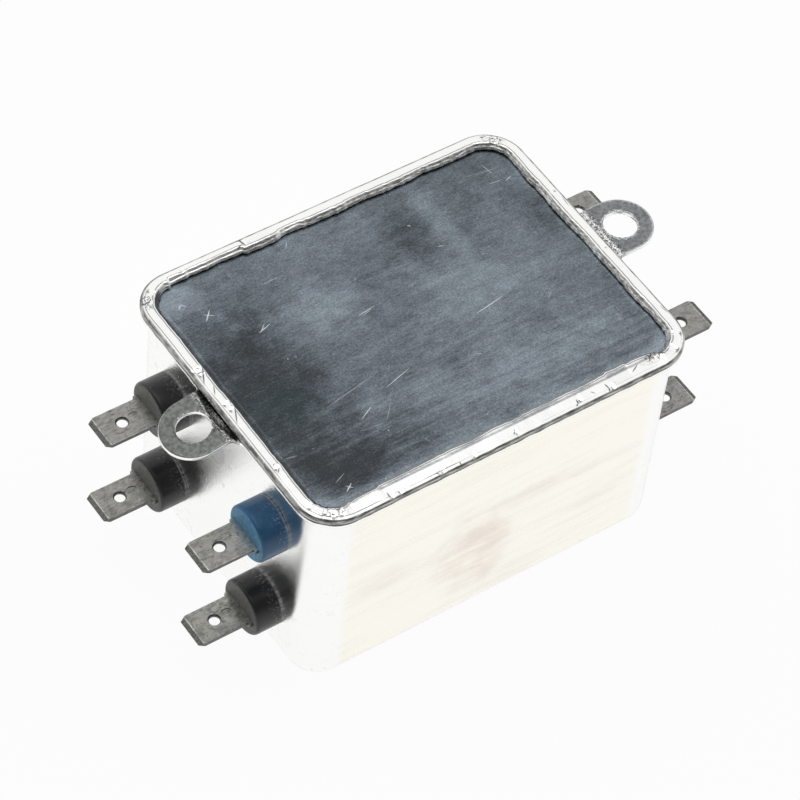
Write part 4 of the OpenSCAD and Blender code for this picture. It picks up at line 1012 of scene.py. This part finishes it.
def build_ear(sizes, side):
    """One mounting ear, pierced, stepped up from the flange and, on the line side, bent down again."""
    lip = RIM_HIGH.x - 0.15 * MM
    root = lip - 0.04 * MM
    centre = sizes.ear_pitch / 2
    outline = ear_outline(sizes, root, lip)
    hole = [(centre + sizes.ear_hole * math.cos(a), sizes.ear_hole * math.sin(a))
            for a in np.linspace(0, 2 * math.pi, 56, endpoint=False)]
    spacing = 0.36 * MM
    inner = []

    def clear(x, y):
        if math.hypot(x - centre, y) < sizes.ear_hole + 0.3 * MM:
            return False
        if x > centre:
            return math.hypot(x - centre, y) < sizes.ear_radius - 0.3 * MM
        if x > lip + 1.6 * MM:
            return abs(y) < sizes.ear_radius - 0.3 * MM
        return x > root + 0.2 * MM and abs(y) < sizes.ear_radius - 0.1 * MM

    for i, x in enumerate(np.arange(root, CAN_HIGH.x, spacing * 0.87)):
        for y in np.arange(-8 * MM, 8 * MM, spacing):
            y += spacing / 2 * (i % 2)
            if clear(x, y):
                inner.append((x, y))
    points = outline + hole + inner
    n, m = len(outline), len(hole)
    edges = [(i, (i + 1) % n) for i in range(n)] + [(n + i, n + (i + 1) % m) for i in range(m)]
    flat, _, faces, _, _, _ = delaunay_2d_cdt([Vector(p) for p in points], edges, [], 0, 1e-7)
    kept = []
    for face in faces:
        x = sum(flat[i].x for i in face) / len(face)
        y = sum(flat[i].y for i in face) / len(face)
        if math.hypot(x - centre, y) < sizes.ear_hole - 0.02 * MM:
            continue
        if not inside_outline(x, y, outline):
            continue
        kept.append(face)
    used = sorted({i for face in kept for i in face})
    order = {old: new for new, old in enumerate(used)}
    plan = np.array([flat[i] for i in used])
    kept = [[order[i] for i in face] for face in kept]
    counts = {}
    for face in kept:
        for a, b in zip(face, face[1:] + face[:1]):
            counts[(a, b)] = True
    border = [(a, b) for (a, b) in counts if (b, a) not in counts]

    thick = sizes.can_thickness
    flange_low = RIM_LOW.z - thick
    x, y = plan[:, 0], plan[:, 1]
    step_mid = RIM_HIGH.x + 0.6 * MM
    if side < 0:
        step_mid = step_mid + 0.9 * MM * np.exp(-((y + 0.4 * MM) / (3.4 * MM)) ** 2)
    rise = sizes.ear_step / (1 + np.exp(-(x - step_mid) / (0.26 * MM)))
    rise = rise - sizes.ear_step / (1 + np.exp(-(root - RIM_HIGH.x - 0.6 * MM) / (0.26 * MM)))
    rng = np.random.default_rng(7 if side > 0 else 9)
    waves = sum(np.sin(x / MM * rng.uniform(0.2, 0.9) + y / MM * rng.uniform(-0.9, 0.9) + rng.uniform(0, 6))
                for _ in range(6)) * 0.012 * MM
    rise = rise + waves * np.clip((x - lip) / (2 * MM), 0, 1)
    rough = sum(np.sin(x / MM * rng.uniform(5, 11) + y / MM * rng.uniform(-9, 9) + rng.uniform(0, 6))
                for _ in range(8)) * 0.022 * MM
    on_step = np.exp(-((x - step_mid) / (0.45 * MM)) ** 2)
    rise = rise + rough * on_step * np.clip((x - lip) / (0.5 * MM), 0, 1)
    z_low = flange_low + rise
    shrink = 0.07 * MM
    rim_ids = sorted({i for pair in border for i in pair})
    inward = np.zeros_like(plan)
    for a, b in border:
        edge = plan[b] - plan[a]
        normal = np.array([-edge[1], edge[0]]) / max(np.linalg.norm(edge), 1e-12)
        inward[a] += normal
        inward[b] += normal
    lengths = np.linalg.norm(inward, axis=1)
    inward[lengths > 0] /= lengths[lengths > 0][:, None]
    away = (x > lip + 0.05 * MM)[:, None]
    pulled = plan + inward * shrink * away

    bottom = np.column_stack([pulled, z_low])
    top = np.column_stack([pulled, z_low + thick])
    low_ring = np.column_stack([plan, z_low + shrink])
    high_ring = np.column_stack([plan, z_low + thick - shrink])
    verts = np.concatenate([bottom, top, low_ring[rim_ids], high_ring[rim_ids]])
    if side < 0:
        turn = sizes.line_ear_bend
        past = verts[:, 0] - (RIM_HIGH.x + 1.0 * MM)
        soft = np.clip(past / (1.0 * MM), 0, 1)
        angle = turn * soft * soft * (3 - 2 * soft)
        lever = np.clip(past - 0.5 * MM, 0, None)
        verts[:, 2] -= lever * np.sin(angle)
        verts[:, 0] -= lever * (1 - np.cos(angle))
        verts[:, 0] *= -1
    count = len(plan)
    ring = {old: k for k, old in enumerate(rim_ids)}
    rings = len(rim_ids)
    mesh_faces = [list(reversed(face)) for face in kept] + [[i + count for i in face] for face in kept]
    for a, b in border:
        la, lb = 2 * count + ring[a], 2 * count + ring[b]
        ha, hb = la + rings, lb + rings
        mesh_faces += [[a, b, lb, la], [la, lb, hb, ha], [ha, hb, b + count, a + count]]
    name = "line_ear" if side < 0 else "load_ear"
    mesh = bpy.data.meshes.new(name)
    mesh.from_pydata(verts.tolist(), [], mesh_faces)
    made = new_object(name, mesh)
    finish_mesh(made)
    return made


def inside_outline(x, y, outline):
    """Whether a point lies inside a closed outline."""
    inside = False
    for (x0, y0), (x1, y1) in zip(outline, outline[1:] + outline[:1]):
        if (y0 > y) != (y1 > y) and x < (x1 - x0) * (y - y0) / (y1 - y0) + x0:
            inside = not inside
    return inside


def finished_tab(node, name, width, angle=28):
    """Tab with its tip tapered for the push-on connector and its sharp edges broken."""
    source = frame["nodes"][node]
    low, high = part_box(node)
    tip = max(abs(low.x), abs(high.x))
    taper, middle = 0.75 * MM, (low.z + high.z) / 2
    work = bmesh.new()
    work.from_mesh(source.data)
    bmesh.ops.remove_doubles(work, verts=work.verts, dist=1e-6)
    bmesh.ops.dissolve_limit(work, angle_limit=math.radians(2), verts=work.verts, edges=work.edges)
    side = 1.0 if high.x > 0 else -1.0
    bmesh.ops.bisect_plane(work, geom=work.verts[:] + work.edges[:] + work.faces[:], dist=1e-7,
                           plane_co=(side * (tip - taper), 0, 0), plane_no=(1, 0, 0))
    for vert in work.verts:
        share = (abs(vert.co.x) - (tip - taper)) / taper
        if share > 0:
            vert.co.z = middle + (vert.co.z - middle) * (1 - 0.5 * share)
    sharp = [e for e in work.edges if len(e.link_faces) == 2 and e.calc_face_angle(0) > math.radians(angle)]
    bmesh.ops.bevel(work, geom=sharp, offset=width, segments=2, profile=0.7, affect="EDGES",
                    clamp_overlap=True)
    mesh = bpy.data.meshes.new(name)
    work.to_mesh(mesh)
    work.free()
    made = new_object(name, mesh)
    made.data.polygons.foreach_set("use_smooth", [True] * len(made.data.polygons))
    made.data.set_sharp_from_angle(angle=math.radians(11))
    return made


# ---------------------------------------------------------------- operators

def dress(node, material):
    """Gives a piece of the frame one material."""
    made = frame["nodes"][node]
    made.data.materials.clear()
    made.data.materials.append(material)


class FILTER_OT_closing_plate(bpy.types.Operator):
    """Form the closing plate with its rolled rim and scratched panel"""
    bl_idname = "line_filter.closing_plate"
    bl_label = "Closing plate"

    def execute(self, context):
        scene = context.scene
        made, hem_points, points = build_plate(scene.filter_sizes)
        finish_mesh(made, bright_tin(scene.filter_finish), panel_steel(scene.filter_finish))
        stations = len(made.data.vertices) // points
        split_materials(made, hem_points + 1, points, stations)
        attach(made, "root")
        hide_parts("closing_plate")
        return {"FINISHED"}


class FILTER_OT_can(bpy.types.Operator):
    """Form the can with its flange and its two ears"""
    bl_idname = "line_filter.can"
    bl_label = "Can and ears"

    def execute(self, context):
        scene = context.scene
        material = can_tin(scene.filter_finish)
        can = build_can(scene.filter_sizes)
        ears = [build_ear(scene.filter_sizes, side) for side in (-1, 1)]
        for piece in [can] + ears:
            piece.data.materials.append(material)
            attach(piece, "root")
        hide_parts("housing")
        return {"FINISHED"}


class FILTER_OT_terminals(bpy.types.Operator):
    """Finish the insulators and the push-on tabs"""
    bl_idname = "line_filter.terminals"
    bl_label = "Terminals"

    def execute(self, context):
        finish = context.scene.filter_finish
        black = moulded("Black moulded plastic", finish.black, finish.black_lit_end)
        blue = moulded("Blue moulded plastic", finish.blue, finish.blue_lit_end)
        tin = tab_tin(finish)
        for end in ("line", "load"):
            for phase in ("l1", "l2", "l3", "n"):
                dress(f"{end}_{phase}_insulator", blue if phase == "n" else black)
                node = f"{end}_{phase}_tab"
                tab = finished_tab(node, node + "_finished", 0.05 * MM)
                tab.data.materials.append(tin)
                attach(tab, "root")
                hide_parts(node)
        return {"FINISHED"}


class FILTER_OT_inside(bpy.types.Operator):
    """Finish the choke, the board and its parts inside the can"""
    bl_idname = "line_filter.inside"
    bl_label = "Inside pieces"

    def execute(self, context):
        made = {}
        for entry in frame["record"]["subparts"]:
            slot = entry["material_slot"]
            if slot in INNER_FINISHES:
                if slot not in made:
                    made[slot] = inner_finish(slot.replace("_", " ").capitalize(), *INNER_FINISHES[slot])
                dress(entry["node"], made[slot])
        return {"FINISHED"}


class FILTER_OT_stage(bpy.types.Operator):
    """Set the floor, the soft light and the camera"""
    bl_idname = "line_filter.stage"
    bl_label = "Floor, light and camera"

    def execute(self, context):
        scene = context.scene
        view = scene.filter_view
        make_floor()
        make_world(scene)
        lamp = bpy.data.lights.new("Softbox", "AREA")
        lamp.shape = "SQUARE"
        lamp.size = SOFTBOX_SIZE
        lamp.energy = view.softbox
        new_object("Softbox", lamp).location = SOFTBOX_PLACE
        make_camera(scene, view)
        scene.view_settings.view_transform = "Standard"
        return {"FINISHED"}


def make_floor():
    """Pale floor: white to the camera and in reflections, and it keeps a soft shadow."""
    count = 96
    ring = [(FLOOR_RADIUS * math.cos(a), FLOOR_RADIUS * math.sin(a), 0.0)
            for a in np.linspace(0, 2 * math.pi, count, endpoint=False)]
    mesh = bpy.data.meshes.new("Floor")
    mesh.from_pydata(ring, [], [list(range(count))])
    floor = new_object("Floor", mesh)
    material = bpy.data.materials.new("Pale floor")
    material.use_nodes = True
    tree = material.node_tree
    tree.nodes.clear()
    path = tree.nodes.new("ShaderNodeLightPath")
    seen = largest(path.outputs["Is Camera Ray"],
                   largest(path.outputs["Is Glossy Ray"], path.outputs["Is Transmission Ray"]))
    paper = put(tree, "ShaderNodeBsdfDiffuse", {"Color": (0.9, 0.9, 0.9, 1.0)})
    white = put(tree, "ShaderNodeEmission", {"Color": (1.0, 1.0, 1.0, 1.0), "Strength": 1.0})
    mixed = put(tree, "ShaderNodeMixShader",
                {0: times(seen, FLOOR_WHITE), 1: paper.outputs[0], 2: white.outputs[0]})
    out = tree.nodes.new("ShaderNodeOutputMaterial")
    tree.links.new(mixed.outputs[0], out.inputs["Surface"])
    mesh.materials.append(material)


def make_world(scene):
    """Studio surround: white, with a grey side in front and a dark card behind the object, above it."""
    world = bpy.data.worlds.new("Studio")
    scene.world = world
    world.use_nodes = True
    tree = world.node_tree
    tree.nodes.clear()
    place = tree.nodes.new("ShaderNodeTexCoord")
    toward = place.outputs["Generated"]
    parts = put(tree, "ShaderNodeSeparateXYZ", {0: toward})
    behind = vector_sums("DOT_PRODUCT", toward, CAMERA_SIDE)
    ramp = put(tree, "ShaderNodeValToRGB", {0: parts.outputs[2]})
    ramp.color_ramp.interpolation = "EASE"
    while len(ramp.color_ramp.elements) < len(FRONT_STOPS):
        ramp.color_ramp.elements.new(0.5)
    for element, (position, value) in zip(ramp.color_ramp.elements, FRONT_STOPS):
        element.position = position
        element.color = (value, value, value, 1.0)
    colour = blend_colour(between(behind, -0.35, 0.2), ramp.outputs[0], (1.0, 1.0, 1.0))
    card = between(vector_sums("DOT_PRODUCT", toward, CARD_DIRECTION), 0.935, 0.975)
    colour = blend_colour(card, colour, CARD_GREY)
    glow = put(tree, "ShaderNodeBackground", {0: colour, 1: 1.0})
    out = tree.nodes.new("ShaderNodeOutputWorld")
    tree.links.new(glow.outputs[0], out.inputs["Surface"])


def make_camera(scene, view):
    """Camera at the set place, turned by azimuth, elevation and roll."""
    azimuth, elevation, roll = view.azimuth, view.elevation, view.roll
    back = Vector((math.sin(azimuth) * math.cos(elevation), -math.cos(azimuth) * math.cos(elevation),
                   math.sin(elevation)))
    right = (-back).cross(Vector((0, 0, 1))).normalized()
    up = right.cross(-back)
    turned_right = math.cos(roll) * right + math.sin(roll) * up
    turned_up = -math.sin(roll) * right + math.cos(roll) * up
    lens = bpy.data.cameras.new("Camera")
    lens.lens = view.lens
    lens.sensor_width = 36.0
    lens.clip_start = 0.01
    lens.clip_end = 50.0
    camera = new_object("Camera", lens)
    turn = Matrix((turned_right, turned_up, back)).transposed().to_4x4()
    camera.matrix_world = Matrix.Translation(Vector(view.place)) @ turn
    scene.camera = camera


class FILTER_PT_panel(bpy.types.Panel):
    """Lists the steps that dress the filter"""
    bl_idname = "FILTER_PT_panel"
    bl_label = "Line filter"
    bl_space_type = "VIEW_3D"
    bl_region_type = "UI"
    bl_category = "Line filter"

    def draw(self, context):
        for operator in OPERATORS:
            self.layout.operator(operator.bl_idname)
        for group in (context.scene.filter_sizes, context.scene.filter_finish, context.scene.filter_view):
            box = self.layout.box()
            for name in group.bl_rna.properties.keys():
                if name not in ("rna_type", "name"):
                    box.prop(group, name)


GROUPS = (("filter_sizes", FilterSizes), ("filter_finish", FilterFinish), ("filter_view", FilterView))
OPERATORS = (FILTER_OT_closing_plate, FILTER_OT_can, FILTER_OT_terminals, FILTER_OT_inside, FILTER_OT_stage)


def register():
    for name, group in GROUPS:
        bpy.utils.register_class(group)
        setattr(bpy.types.Scene, name, bpy.props.PointerProperty(type=group))
    for made in OPERATORS + (FILTER_PT_panel,):
        bpy.utils.register_class(made)


def unregister():
    for made in reversed(OPERATORS + (FILTER_PT_panel,)):
        bpy.utils.unregister_class(made)
    for name, group in reversed(GROUPS):
        delattr(bpy.types.Scene, name)
        bpy.utils.unregister_class(group)


def main():
    register()
    bpy.ops.line_filter.closing_plate()
    bpy.ops.line_filter.can()
    bpy.ops.line_filter.terminals()
    bpy.ops.line_filter.inside()
    bpy.ops.line_filter.stage()


if __name__ == "__main__":
    main()
